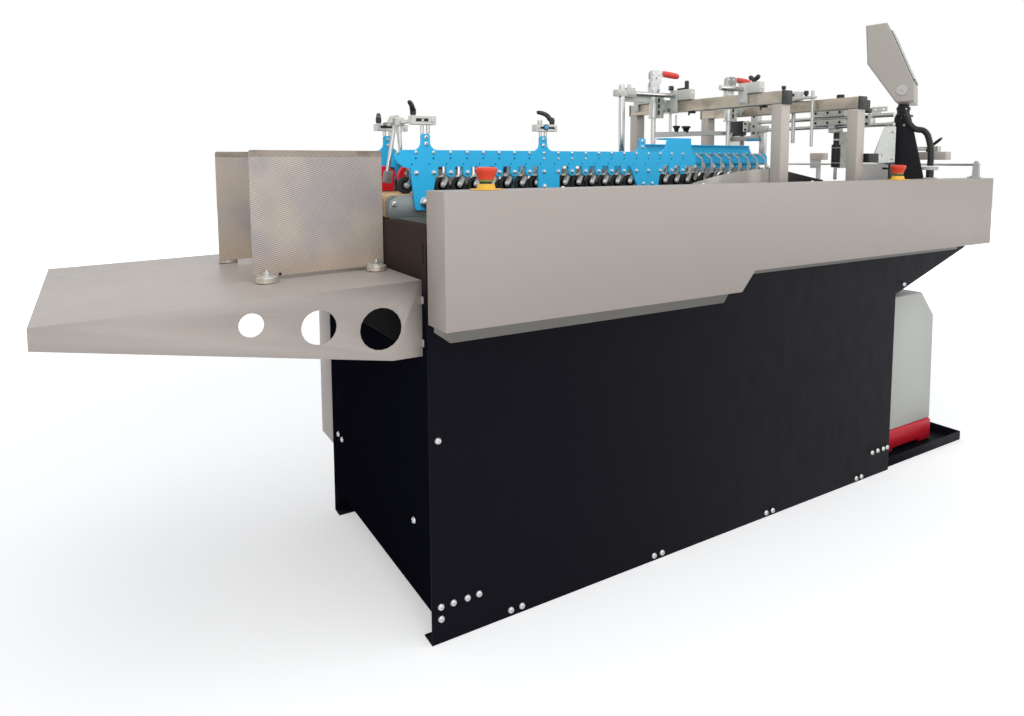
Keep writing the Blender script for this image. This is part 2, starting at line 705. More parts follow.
# Stage
class MACHINE_OT_stage(bpy.types.Operator):
    """Camera, pale floor, soft lamps and white surroundings"""
    bl_idname = "machine.stage"
    bl_label = "Stage"

    def execute(self, context):
        scene = context.scene
        scene.view_settings.view_transform = "Standard"

        lens = bpy.data.cameras.new("camera")
        lens.sensor_width = SENSOR_WIDTH
        lens.lens = FOCAL_PIXELS * SENSOR_WIDTH / PHOTO_WIDTH
        lens.shift_x = (PHOTO_MIDDLE[0] - LEVEL_POINT[0]) / PHOTO_WIDTH
        lens.shift_y = (LEVEL_POINT[1] - PHOTO_MIDDLE[1]) / PHOTO_WIDTH
        lens.clip_start = 0.02
        lens.clip_end = 60.0
        camera = linked("camera", lens)
        heading, tilt = CAMERA_HEADING, CAMERA_TILT
        right = Vector((math.cos(heading), -math.sin(heading), 0.0))
        ahead = Vector(
            (math.sin(heading) * math.cos(tilt), math.cos(heading) * math.cos(tilt), -math.sin(tilt)))
        turn = Matrix((right, right.cross(ahead), -ahead)).transposed().to_4x4()
        turn.translation = Vector(CAMERA_PLACE) + SHIFT
        camera.matrix_world = turn
        scene.camera = camera

        floor_mesh = bpy.data.meshes.new("floor")
        floor_mesh.from_pydata([(-14, -14, 0), (14, -14, 0), (14, 14, 0), (-14, 14, 0)], [], [(0, 1, 2, 3)])
        floor = linked("floor", floor_mesh)
        floor.location.z = -0.0005
        pale = Finish("floor_paint", 0.9)
        pale.colour(colour("e6e6e6"))
        span = pale.node("ShaderNodeVectorMath", {"operation": "LENGTH"}, {0: pale.place()}, output=1)
        rays = pale.node("ShaderNodeLightPath")
        seen = Value(pale, rays.socket.node.outputs["Is Camera Ray"])
        glossy = Value(pale, rays.socket.node.outputs["Is Glossy Ray"])
        through = Value(pale, rays.socket.node.outputs["Is Transmission Ray"])
        glow = pale.node("ShaderNodeEmission", None, {"Color": (1, 1, 1, 1),
            "Strength": seen.largest(glossy).largest(through) * (0.42 + span.ramp(1.8, 5.0) * 0.55)})
        both = pale.node("ShaderNodeAddShader", None, {0: Value(pale, pale.shader.outputs[0]), 1: glow})
        out = pale.tree.nodes["Material Output"]
        pale.tree.links.new(both.socket, out.inputs["Surface"])
        floor_mesh.materials.append(pale.material)

        world = bpy.data.worlds.new("studio")
        world.use_nodes = True
        scene.world = world
        tree = world.node_tree
        back = tree.nodes["Background"]
        back.inputs["Color"].default_value = (0.93, 0.96, 1.0, 1.0)
        back.inputs["Strength"].default_value = 0.62
        white = tree.nodes.new("ShaderNodeBackground")
        white.inputs["Color"].default_value = (1, 1, 1, 1)
        white.inputs["Strength"].default_value = 1.0
        path = tree.nodes.new("ShaderNodeLightPath")
        first, second = [tree.nodes.new("ShaderNodeMath") for _ in range(2)]
        first.operation = second.operation = "MAXIMUM"
        choose = tree.nodes.new("ShaderNodeMixShader")
        for start, output, end, entry in ((path, "Is Camera Ray", first, 0),
                (path, "Is Transmission Ray", first, 1), (first, 0, second, 0),
                (path, "Is Glossy Ray", second, 1), (second, 0, choose, 0), (back, 0, choose, 1),
                (white, 0, choose, 2), (choose, 0, tree.nodes["World Output"], "Surface")):
            tree.links.new(start.outputs[output], end.inputs[entry])

        for name, spot, aim, size, share in (("over", (-0.6, -1.4, 3.3), (0.1, 0.0, 0.6), 2.8, 1.0),
                ("front", (-2.2, -3.2, 1.7), (0.2, 0.0, 0.7), 2.2, 0.52),
                ("side", (2.8, -2.2, 2.2), (0.3, 0.0, 0.8), 1.8, 0.42)):
            lamp = bpy.data.lights.new("lamp_" + name, "AREA")
            lamp.shape = "SQUARE"
            lamp.size = size
            lamp.energy = settings().lamp_power * share
            holder = linked("lamp_" + name, lamp)
            holder.location = spot
            holder.rotation_euler = (Vector(aim) - Vector(spot)).to_track_quat("-Z", "Y").to_euler()
        return {"FINISHED"}


class MACHINE_OT_paint(bpy.types.Operator):
    """Makes every finish of the machine"""
    bl_idname = "machine.paint"
    bl_label = "Finishes"

    def execute(self, context):
        make_finishes()
        return {"FINISHED"}


# Rails and press rollers
def button(size, rise):
    """Rounded bolt head with its socket, about the origin and facing +Z."""
    profile = [(size * 0.92, -0.0004), (size, 0.0002), (size * 0.86, rise * 0.62), (size * 0.52, rise),
        (size * 0.36, rise), (size * 0.28, rise * 0.35), (0, rise * 0.35)]
    return lathe(profile, (0, 0, 0), UP, 12)


def dome(size, rise):
    """Small plain rivet head, about the origin and facing +Z."""
    profile = [(size, -0.0004), (size * 1.02, rise * 0.3), (size * 0.72, rise * 0.85), (0, rise)]
    return lathe(profile, (0, 0, 0), UP, 12)


def bolt_places(count, first=0):
    """X of the bolts that carry the press rollers."""
    return [ROLLER_START + n * ROLLER_PITCH for n in range(first, count)]


def rail_neck(middle, half, top, foot):
    """Outline of a neck that holds a rail clamp, from left to right."""
    left, right, curve = middle - half, middle + half, 0.0175
    crown = [(left, top - 0.003), (left + 0.003, top), (right - 0.003, top), (right, top - 0.003)]
    return (arc(left - curve, foot + curve, curve, -90, 0, 8) + crown
        + arc(right + curve, foot + curve, curve, 180, 270, 8))


def comb_edge(count, legs):
    """Lower edge from right to left; legs maps a bolt number to the leg that starts at its lobe."""
    edge = []
    n = count - 1
    while n > 0:
        bolt = ROLLER_START + n * ROLLER_PITCH
        edge += [(bolt + LOBE + 0.003, NOTCH_TOP), (bolt + LOBE + 0.0008, NOTCH_TOP - 0.0008),
            (bolt + LOBE, NOTCH_TOP - 0.003)]
        if n in legs:
            angle, points, following = legs[n]
            edge += arc(bolt, BOLT_HEIGHT, LOBE, 0, angle, 8) + points
            n = following
        else:
            edge += arc(bolt, BOLT_HEIGHT, LOBE, 0, -180, 12)
            edge += [(bolt - LOBE, NOTCH_TOP - 0.003), (bolt - LOBE - 0.0008, NOTCH_TOP - 0.0008),
                (bolt - LOBE - 0.003, NOTCH_TOP)]
            n -= 1
    return edge


RAIL_NOSE = [(0.056, 0.944), (0.046, 0.946), (0.041, 0.9478), (0.037, 0.95), (0.0322, 0.9543), (0.028, 0.959),
    (0.0252, 0.9632), (0.024, 0.968), (0.0242, 0.9718), (0.0255, 0.975), (0.0282, 0.9785), (0.032, 0.981),
    (0.0358, 0.983), (0.04, RAIL_TOP)]


def build_near_rail():
    left, right, end = 0.797, 0.88, 0.899
    top = [point for neck in NECKS for point in rail_neck(neck, 0.0105, NECK_TOP, RAIL_TOP)]
    top += [(left - 0.03, RAIL_TOP), (left - 0.018, RAIL_TOP + 0.0035), (left - 0.01, RAIL_TOP + 0.01),
        (left, NECK_TOP + 0.003), (right, NECK_TOP + 0.003), (right + 0.003, RAIL_TOP + 0.01),
        (end - 0.01, RAIL_TOP - 0.003), (end - 0.003, RAIL_TOP - 0.007), (end, RAIL_TOP - 0.014),
        (end, NOTCH_TOP)]
    legs = {17: (-95, [(0.764, 0.898), (0.762, 0.894), (0.758, 0.892), (0.695, 0.892),
        (0.691, 0.894), (0.689, 0.898), (0.6659, NOTCH_TOP)], 14), 9: (-68, [(0.4445, 0.898), (0.4427, 0.894),
        (0.4385, 0.892), (0.3895, 0.892), (0.3853, 0.894), (0.3835, 0.898), (0.3835, NOTCH_TOP)], 7),
        1: (-67, [(0.106, 0.858), (0.1042, 0.854), (0.1, 0.852), (0.074, 0.852), (0.0698, 0.854),
        (0.068, 0.858), (0.0587, 0.944)], 0)}
    y0, y1 = NEAR_RAIL_Y - RAIL_THICK / 2, NEAR_RAIL_Y + RAIL_THICK / 2
    bolts = bolt_places(20)
    holes = [circle(x, 0.9655, 0.0021, 10) for n, x in enumerate(bolts) if not 8 <= n <= 11]
    holes += [circle(x - 0.01, 0.9525, 0.0018, 10) for x in bolts]
    rail = Form("near_rail_plate")
    rail.add("rail paint", slab(RAIL_NOSE + top + comb_edge(20, legs), "Y", y0, y1, holes, 0.0005))
    rail.add("rail paint", block((left - 0.002, right + 0.002), (y0 + 0.001, y1 + 0.042),
        (NECK_TOP - 0.001, NECK_TOP + 0.003), 0.0008))
    rail.add("rail shade", block((0.045, 0.89), (y1 - 0.0012, y1 + 0.0001), (0.95, 0.97), 0))
    knob = (0.092, 0.868)
    rail.add("zinc", lathe([(0.01, 0), (0.0112, 0.0016), (0.01, 0.003), (0.0088, 0.0045), (0.007, 0.008),
        (0.0035, 0.0103), (0, 0.0108)], (knob[0] - 0.002, y0, knob[1] + 0.002), NEAR))
    rail.add("black plastic", lathe([(0.0045, 0), (0.0045, 0.006), (0.0082, 0.008), (0.0092, 0.012),
        (0.0086, 0.016), (0.005, 0.0178), (0, 0.0178)], (knob[0] + 0.0015, y0, knob[1] - 0.006), NEAR, 20))
    rail.add("bolt zinc", lathe([(0.006, 0), (0.0064, 0.002), (0.0052, 0.005), (0.003, 0.0066), (0, 0.0071)],
        (0.3996, y0, 0.8985), NEAR, 20))
    for x in (0.712, 0.742):
        rail.add("bolt zinc",
            lathe([(0.0046, 0), (0.0046, 0.0018), (0.003, 0.0034), (0, 0.0036)], (x, y0, 0.9), NEAR, 16))
    rail.done("near_rail", "blue_paint")

    head = Form("rail_button_head").add("bolt zinc", button(0.0042, 0.003))
    spots = [((x, y0, 0.979), NEAR) for x in bolt_places(20, -1)]
    repeated("near_rail_top_bolts", [head], spots, loose=1.0)
    head = Form("neck_bolt_head").add("bolt zinc", button(0.0052, 0.0032))
    socket = Form("neck_bolt_socket").add("black steel",
        lathe([(0.0015, 0), (0.0014, 0.0014), (0, 0.0014)], (0, 0, 0), sides=8))
    spots = [((x, y0, z), NEAR) for x in (NECKS[0] + 0.001, NECKS[1], NECKS[2]) for z in (1.0113, 0.9971)]
    repeated("near_rail_neck_bolts", [head, socket], spots, loose=1.0)
    head = Form("rail_small_head").add("bolt zinc", dome(0.003, 0.0024))
    repeated("near_rail_small_bolts", [head], [((bolts[n], y0, 0.9655), NEAR) for n in range(8, 12)],
        loose=1.0)
    washer = lathe([(0.0052, -0.0002), (0.0052, 0.0006), (0.0046, 0.0009), (0.004, 0.0009)], (0, 0, 0),
        sides=14)
    head = Form("lobe_bolt_head").add("bolt zinc", washer)
    cap = Form("lobe_bolt_cap").add("bolt zinc", lathe([(0.0042, 0.0006), (0.0043, 0.0022), (0.0036, 0.0038),
        (0.002, 0.0046), (0, 0.0046)], (0, 0, 0), sides=14))
    repeated("near_rail_lobe_bolts", [head, cap], [((x, y0, BOLT_HEIGHT), NEAR) for x in bolts], loose=1.0)


def build_far_rail():
    left, right, end = 0.86, 1.313, 1.405
    top = rail_neck(FAR_NECK, 0.0105, NECK_TOP, RAIL_TOP)
    top += [(left - 0.016, RAIL_TOP), (left, RAIL_RAISED), (right, RAIL_RAISED), (right + 0.016, RAIL_TOP),
        (end - 0.01, RAIL_TOP), (end - 0.003, RAIL_TOP - 0.005), (end, RAIL_TOP - 0.014), (end, NOTCH_TOP)]
    legs = {
        17: (-95, [(0.764, 0.898), (0.758, 0.892), (0.695, 0.892), (0.689, 0.898), (0.6659, NOTCH_TOP)], 14),
        9: (-68, [(0.4445, 0.898), (0.4385, 0.892), (0.3895, 0.892), (0.3835, 0.898), (0.3835, NOTCH_TOP)],
        7), 1: (-36, [(0.121, 0.898), (0.115, 0.892), (0.074, 0.892), (0.068, 0.898), (0.0585, 0.944)], 0)}
    y0, y1 = FAR_RAIL_Y - RAIL_THICK / 2, FAR_RAIL_Y + RAIL_THICK / 2
    bolts = bolt_places(32)
    rail = Form("far_rail_plate")
    rail.add("rail paint", slab(RAIL_NOSE + top + comb_edge(32, legs), "Y", y0, y1, (), 0.0005))
    rail.add("rail paint", block((left + 0.004, right - 0.002), (y0 - 0.007, y0 + 0.003),
        (RAIL_RAISED - 0.0035, RAIL_RAISED - 0.0005)))
    rail.done("far_rail", "blue_paint")
    cap = Form("far_lobe_cap").add("bolt zinc", button(0.0048, 0.0034))
    repeated("far_rail_lobe_bolts", [cap], [((x, y1, BOLT_HEIGHT), FAR) for x in bolts], loose=1.0)
    head = Form("far_button_head").add("bolt zinc", button(0.0042, 0.003))
    spots = [((x, y1, 0.979), FAR) for x in bolts]
    spots += [((x, y0, 0.9827), NEAR) for x in bolts if x > 0.86]
    spots += [((x, y1, 1.001), FAR) for x in (0.9, 1.0, 1.1, 1.2, 1.28)]
    spots += [((FAR_NECK, y0, z), NEAR) for z in (1.0113, 0.9971)]
    repeated("far_rail_top_bolts", [head], spots, loose=1.0)
    head = Form("far_small_head").add("bolt zinc", dome(0.0026, 0.0022))
    repeated("far_rail_small_bolts", [head], [((x, y0, 0.9715), NEAR) for x in bolts if x > 0.86], loose=1.0)


def unit_arm(away, start, reach):
    """Cast trailing arm of one roller unit, from the next bolt down to the hub; z = 0 at the hub."""
    outline = ([(0.0208, 0.0262), (0.0166, 0.0332), (0.0112, 0.0335), (0.006, 0.0262), (0.0012, 0.015),
        (-0.005, 0.006)] + arc(0, 0, 0.0062, 150, 330, 8) + [(0.01, 0.004), (0.0158, 0.014)])
    return slab(outline, "Y", *sorted((away * start, away * reach)), (), 0.0004)


def unit_stem(away, start, reach):
    """Bright stem of one roller unit: wide at the top, narrow and curved towards the hub."""
    outline = [(0.0036, 0.0476), (0.0042, 0.04), (0.0038, 0.03), (0.0018, 0.0228), (-0.003, 0.0176),
        (-0.0105, 0.018), (-0.0112, 0.021), (-0.004, 0.0212), (0.0002, 0.0246), (0.005, 0.023),
        (0.0066, 0.018), (0.0052, 0.0118), (0.0018, 0.008), (-0.0034, 0.0052), (-0.0056, 0.0016),
        (-0.005, -0.0028), (-0.0018, -0.0056), (0.0026, -0.0052), (0.0062, 0.001), (0.0098, 0.01),
        (0.0116, 0.019), (0.0112, 0.029), (0.0116, 0.038), (0.0106, 0.0476)]
    return slab(outline, "Y", *sorted((away * start, away * reach)), (), 0.0003)


def roller_parts(name, away, depth):
    """Forms of one roller unit about its hub; depth is how far the hub stands off the rail."""
    size = settings().tyre_radius
    tread = 0.0009
    y = [away * (depth + d) for d in (0.0042, 0.012)]
    low, high = min(y), max(y)
    width = high - low
    tyre = lathe([(0.0115, 0), (size - 0.0022, 0), (size - tread, 0.0006), (size, 0.0018),
        (size, width - 0.0018), (size - tread, width - 0.0006), (size - 0.0022, width), (0.0115, width),
        (0.0115, 0)], (0, low, 0), FAR, 28)
    core = lathe([(0.003, 0), (0.0104, 0.0004), (0.0118, 0.0014), (0.0118, width - 0.0014),
        (0.0104, width - 0.0004), (0.003, width)], (0, low, 0), FAR, 20)
    hub = lathe([(0.005, -0.0006), (0.0052, 0.0006), (0.0052, 0.003), (0.004, 0.0044), (0, 0.0048)],
        (0, away * (depth + 0.0016), 0), (0, -away, 0), 12)
    axle = bar((0, away * (depth + 0.001), 0), (0, away * (depth + 0.0145), 0), 0.0032, 10)
    plate_y = sorted((away * (depth + 0.0025), away * (depth + 0.015)))
    bridge = block((-0.012, 0.009), plate_y, (0.0182, 0.02), 0.0005, 1)
    arm = unit_arm(away, depth + 0.0018, depth + 0.0041)
    back = unit_arm(away, depth + 0.0124, depth + 0.0144)
    stem = unit_stem(away, depth - 0.0003, depth + 0.0016)
    spring = hose([(0.0085 + 0.002 * math.cos(t * 1.05), away * (depth + 0.0085) + 0.002 * math.sin(t * 1.05),
        0.0215 + t * 0.00042) for t in range(42)], 0.00045, 5)
    return [Form(name + "_tyre").add("rubber", tyre), Form(name + "_core").add("grey rubber", core),
        Form(name + "_hub").add("bolt zinc", hub, axle),
        Form(name + "_arm").add("cast grey", arm, back, spring),
        Form(name + "_stem").add("alloy", stem, bridge)]


def build_rollers():
    bolts = bolt_places(20)
    face = NEAR_RAIL_Y + RAIL_THICK / 2 + 0.0005
    spots = [((x + ROLLER_AHEAD, face, ROLLER_HEIGHT), UP) for x in bolts]
    repeated("near_roller_units", roller_parts("near_unit", 1, 0), spots, replaces=["near_press_rollers"])
    back = Form("near_roller_strip")
    back.add("rail shade", block((0.094, bolts[-1] + 0.032), (face, face + 0.0028), (0.9515, 0.964)))
    for x in bolts:
        back.add("cast grey", bar((x, face, BOLT_HEIGHT), (x, face + 0.0052, BOLT_HEIGHT), 0.0062, 10))
    back.done()

    bolts = bolt_places(32)
    face = FAR_RAIL_Y - RAIL_THICK / 2 - 0.0005
    spots = [((x + ROLLER_AHEAD, face, ROLLER_HEIGHT), UP) for x in bolts]
    repeated("far_roller_units", roller_parts("far_unit", -1, 0.0215), spots, replaces=["far_press_rollers"])
    back = Form("far_roller_strip")
    back.add("rail paint", block((0.094, bolts[-1] + 0.032), (face - 0.0028, face), (0.9515, 0.964)))
    for n, x in enumerate(bolts):
        pin = bar((x + ROLLER_AHEAD + 0.0047, face, 0.949), (x + ROLLER_AHEAD + 0.0047, face - 0.022, 0.949),
            0.002, 8)
        back.add("zinc", pin)
        if n < 9:
            back.add("black plastic",
                block((x - 0.011, x + 0.013), (face - 0.02, face - 0.0005), (0.925, 0.9455), 0.0012))
        elif x > 0.98:
            arm = slab([(-0.004, 0.001), (0, 0.0042), (0.004, 0.003), (0.0285, -0.011), (0.0285, -0.015),
                (0.024, -0.015)], "Y", face - 0.023, face - 0.0215)
            stem = slab([(0.0238, -0.013), (0.0292, -0.0118), (0.0286, -0.033), (0.03, -0.048),
                (0.0226, -0.048), (0.0246, -0.033)], "Y", face - 0.023, face - 0.0215)
            back.add("alloy", moved(arm, (x, 0, 0.98)), moved(stem, (x, 0, 0.98)))
            back.add("bolt zinc", bar((x, face, 0.9815), (x, face - 0.0235, 0.9815), 0.0036, 10))
    back.done()


class MACHINE_OT_rails(bpy.types.Operator):
    """Rails with their bolts and the press rollers under them"""
    bl_idname = "machine.rails"
    bl_label = "Rails and press rollers"

    def execute(self, context):
        build_near_rail()
        build_far_rail()
        build_rollers()
        return {"FINISHED"}


# Feed table with its perforated stack guides, covers and cabinet sheets
GUIDE_Y = (0.211, 0.518)
GUIDE_TOP = 0.981
GUIDE_RIGHT = -0.009
GUIDE_LEFT = (-0.271, -0.2875)


def table_height(x):
    """Top of the feed table, which rises towards the belts."""
    return 0.716 + 0.0165 * (x + 0.617) / 0.617


def build_guides():
    thick = 0.002
    for name, left, y, inward in (("near_guide", GUIDE_LEFT[0], GUIDE_Y[0], -1),
            ("far_guide", GUIDE_LEFT[1], GUIDE_Y[1], 1)):
        form = Form(name + "_sheet")
        low_left, low_right = table_height(left) + 0.008, table_height(GUIDE_RIGHT) + 0.008
        span = (y - thick / 2, y + thick / 2)
        lip = GUIDE_TOP - 0.012
        form.add("guide steel", slab([(left, low_left), (GUIDE_RIGHT, low_right), (GUIDE_RIGHT, lip),
            (left, lip)], "Y", *span, (), 0.0004))
        form.add("guide lip", slab([(left, lip - 0.0004), (GUIDE_RIGHT, lip - 0.0004),
            (GUIDE_RIGHT, GUIDE_TOP), (left + 0.003, GUIDE_TOP), (left, GUIDE_TOP - 0.003)], "Y",
            span[0] - 0.0002, span[1] + 0.0002, (), 0.0005))
        for x in (left + 0.022, GUIDE_RIGHT - 0.022):
            base = table_height(x + 0.0185) + 0.0003
            spot = (x, y + inward * 0.02, base)
            form.add("magnet brass", lathe([(0.0198, 0), (0.0205, 0.0008), (0.0205, 0.0042), (0.02, 0.0048),
                (0.0205, 0.0054), (0.0205, 0.0098), (0.0196, 0.0108), (0, 0.0108)], spot, sides=48))
            reach = sorted((y - inward * 0.001, y + inward * 0.037))
            form.add("alloy", block((x - 0.015, x + 0.015), reach, (base + 0.0106, base + 0.0124), 0.0008))
            form.add("bolt zinc", lathe([(0.0108, 0), (0.0108, 0.0014), (0.01, 0.0018), (0, 0.0018)],
                (x, spot[1], base + 0.0122)), hexagon((x, spot[1], base + 0.0138), (x, spot[1], base + 0.019),
                0.011), lathe([(0.0032, 0), (0.0032, 0.0038), (0.0026, 0.0046), (0, 0.0046)],
                (x, spot[1], base + 0.0188), sides=16))
        form.add("black steel", block((left + 0.048, left + 0.053),
            sorted((y + inward * 0.0008, y + inward * 0.003)), (low_left + 0.002, low_left + 0.008)))
        form.done(name.replace("guide", "stack_guide"), "stainless")


def build_sheets():
    table = softened("feed_table", "table paint", 0.0012, 3)
    table.data.materials.append(FINISHES["slit"])
    # The table's wall behind the round openings of its cheek is dark
    for face in table.data.polygons:
        if face.center.x - SHIFT.x > -0.006 and abs(face.normal.x) > 0.9 and face.center.z < 0.71:
            face.material_index = len(table.data.materials) - 1
    softened("near_side_cover", "cover paint", 0.003, 3)
    softened("far_side_cover", "cover paint", 0.0022, 3)
    softened("cover_backing_plate", "backing steel", 0.0005, 2)
    cabinet = softened("electrical_cabinet", "cover paint", 0.0015, 2)
    # Its far face stands in by the height of its screw heads
    for vertex in cabinet.data.vertices:
        if vertex.co.y - SHIFT.y > 0.778:
            vertex.co.y -= 0.0028
    softened("compressor_cover", "pump grey", 0.006, 4)
    softened("compressor_base", "pump red", 0.003, 3)
    softened("base_tray", "panel paint", 0.001, 2)
    for node in ("near_side_panel", "far_side_panel", "outfeed_panel"):
        softened(node, "panel paint", 0.0009, 2)
    softened("infeed_panel", "infeed paint", 0.0012, 2)
    softened("deck", "deck paint", 0.0009, 2)


# Button-head screws of the cabinet: X and Z on a side panel, Y and Z on the infeed panel
SIDE_SCREWS = [(0.0196, 0.0765), (0.0468, 0.0761), (0.078, 0.0757), (0.1041, 0.0757), (0.02, 0.051),
    (0.1791, 0.0142), (0.2061, 0.0142), (0.5749, 0.013), (0.6003, 0.013), (0.9713, 0.0125), (0.9973, 0.0125),
    (1.3678, 0.012), (1.3924, 0.012), (1.4433, 0.0745), (1.4711, 0.075), (1.5, 0.0747), (1.52, 0.075),
    (0.0183, 0.4176), (1.572, 0.5826)]
INFEED_SCREWS = [(0.0842, 0.2257), (0.58, 0.23), (0.6127, 0.2339)]


def build_screws():
    head = Form("cabinet_screw_head").add("bolt zinc",
        lathe([(0.0068, -0.0005), (0.0072, 0.0006), (0.0066, 0.0024), (0.005, 0.0042), (0.003, 0.0049),
        (0.0024, 0.0049), (0.0022, 0.0026), (0, 0.0026)], (0, 0, 0)))
    spots = [((x, 0, z), NEAR) for x, z in SIDE_SCREWS]
    spots += [((x, 0.668, z), FAR) for x, z in SIDE_SCREWS]
    spots += [((0, y, z), BACK) for y, z in INFEED_SCREWS]
    spots += [((1.531, y, z), (1, 0, 0)) for y in (0.045, 0.334, 0.623) for z in (0.11, 0.3, 0.5)]
    repeated("cabinet_screws", [head], spots, loose=1.0)
    head = Form("cover_screw_head").add("bolt zinc", button(0.0045, 0.0026))
    rows = (0.3, 0.7, 1.1, 1.5)
    spots = [((x, y, COVER_TOP), UP) for x in rows for y in (-0.014, 0.682)]
    spots += [((x, 0.7772, z), FAR) for x in (0.02, 0.6) for z in (0.21, 0.41, 0.62)]
    repeated("cover_screws", [head], spots, loose=1.0)


def build_infeed_fittings():
    trim = Form("infeed_fittings")
    trim.add("slit", block((-0.0006, 0.001), (0.06, 0.0622), (0.23, 0.454), 0), block((-0.0006, 0.001),
        (0.6058, 0.608), (0.23, 0.454), 0), block((-0.0006, 0.001), (0.0145, 0.0168), (0.765, 0.805), 0),
        block((-0.0006, 0.001), (0.6512, 0.6535), (0.765, 0.805), 0))
    for y in (0.024, 0.715):
        inward = 1 if y < 0.3 else -1
        for z in (0.694, 0.61):
            trim.add("table paint", block((-0.003, -0.0002),
                sorted((y - inward * 0.0085, y - inward * 0.0002)), (z - 0.007, z + 0.007)))
    trim.done()


class MACHINE_OT_sheets(bpy.types.Operator):
    """Feed table, stack guides, covers and cabinet sheets with their screws"""
    bl_idname = "machine.sheets"
    bl_label = "Sheets and stack guides"

    def execute(self, context):
        build_guides()
        build_sheets()
        build_screws()
        build_infeed_fittings()
        return {"FINISHED"}


# Rail clamps with their levers, and the feed head
def slotted_bar(form, x, y, z, slot):
    """Clamp bar with a dark slot along its near face."""
    near = y[0]
    mouth = [(slot[0], slot[2]), (slot[1], slot[2]), (slot[1], slot[3]), (slot[0], slot[3])]
    outline = [(x[0], z[0]), (x[1], z[0]), (x[1], z[1]), (x[0], z[1])]
    form.add("alloy", slab(outline, "Y", near, near + 0.004, [mouth], 0.0007))
    form.add("alloy", block(x, (near + 0.0038, y[1]), z, 0.0008))
    form.add("black steel", block((slot[0] - 0.001, slot[1] + 0.001), (near + 0.0028, near + 0.0039),
        (slot[2] - 0.001, slot[3] + 0.001), 0))


def screw_at(spot, facing, size=0.004, rise=0.003):
    """Socket screw head standing on a surface."""
    return lathe([(size * 0.94, -0.0004), (size, 0.0003), (size, rise * 0.8), (size * 0.88, rise),
        (size * 0.52, rise), (size * 0.5, rise * 0.45), (0, rise * 0.45)], spot, facing, 18)


def lever_bits(pivot, swing, rise):
    """Hub and swept grip of a clamping lever."""
    foot = Vector(pivot)
    toward = Vector((math.cos(swing), math.sin(swing), 0))
    hub = lathe([(0.005, 0), (0.0056, 0.0006), (0.0056, 0.003), (0.0067, 0.0042), (0.0067, 0.0125),
        (0.006, 0.015), (0.0048, 0.0163), (0, 0.0165)], foot, sides=28)
    elbow = foot + Vector((0, 0, 0.0105))
    path = smooth_line([elbow - toward * 0.001, elbow + toward * 0.005 + Vector((0, 0, 0.0036)),
        elbow + toward * 0.0115 + Vector((0, 0, rise * 0.55 + 0.0024)), elbow + toward * 0.022
        + Vector((0, 0, rise * 0.86 + 0.0026)), elbow + toward * 0.0335 + Vector((0, 0, rise + 0.0025)),
        elbow + toward * 0.0372 + Vector((0, 0, rise * 0.98 + 0.0025))], 4)
    sizes = [0.0058, 0.006, 0.0061, 0.0061, 0.0061, 0.006, 0.0059, 0.0058, 0.0057, 0.0056, 0.0055, 0.0054,
        0.0053, 0.0052, 0.005, 0.0048, 0.0046, 0.0043, 0.0038, 0.003, 0.0014]
    return hub, hose(path, sizes[:len(path)], 18)


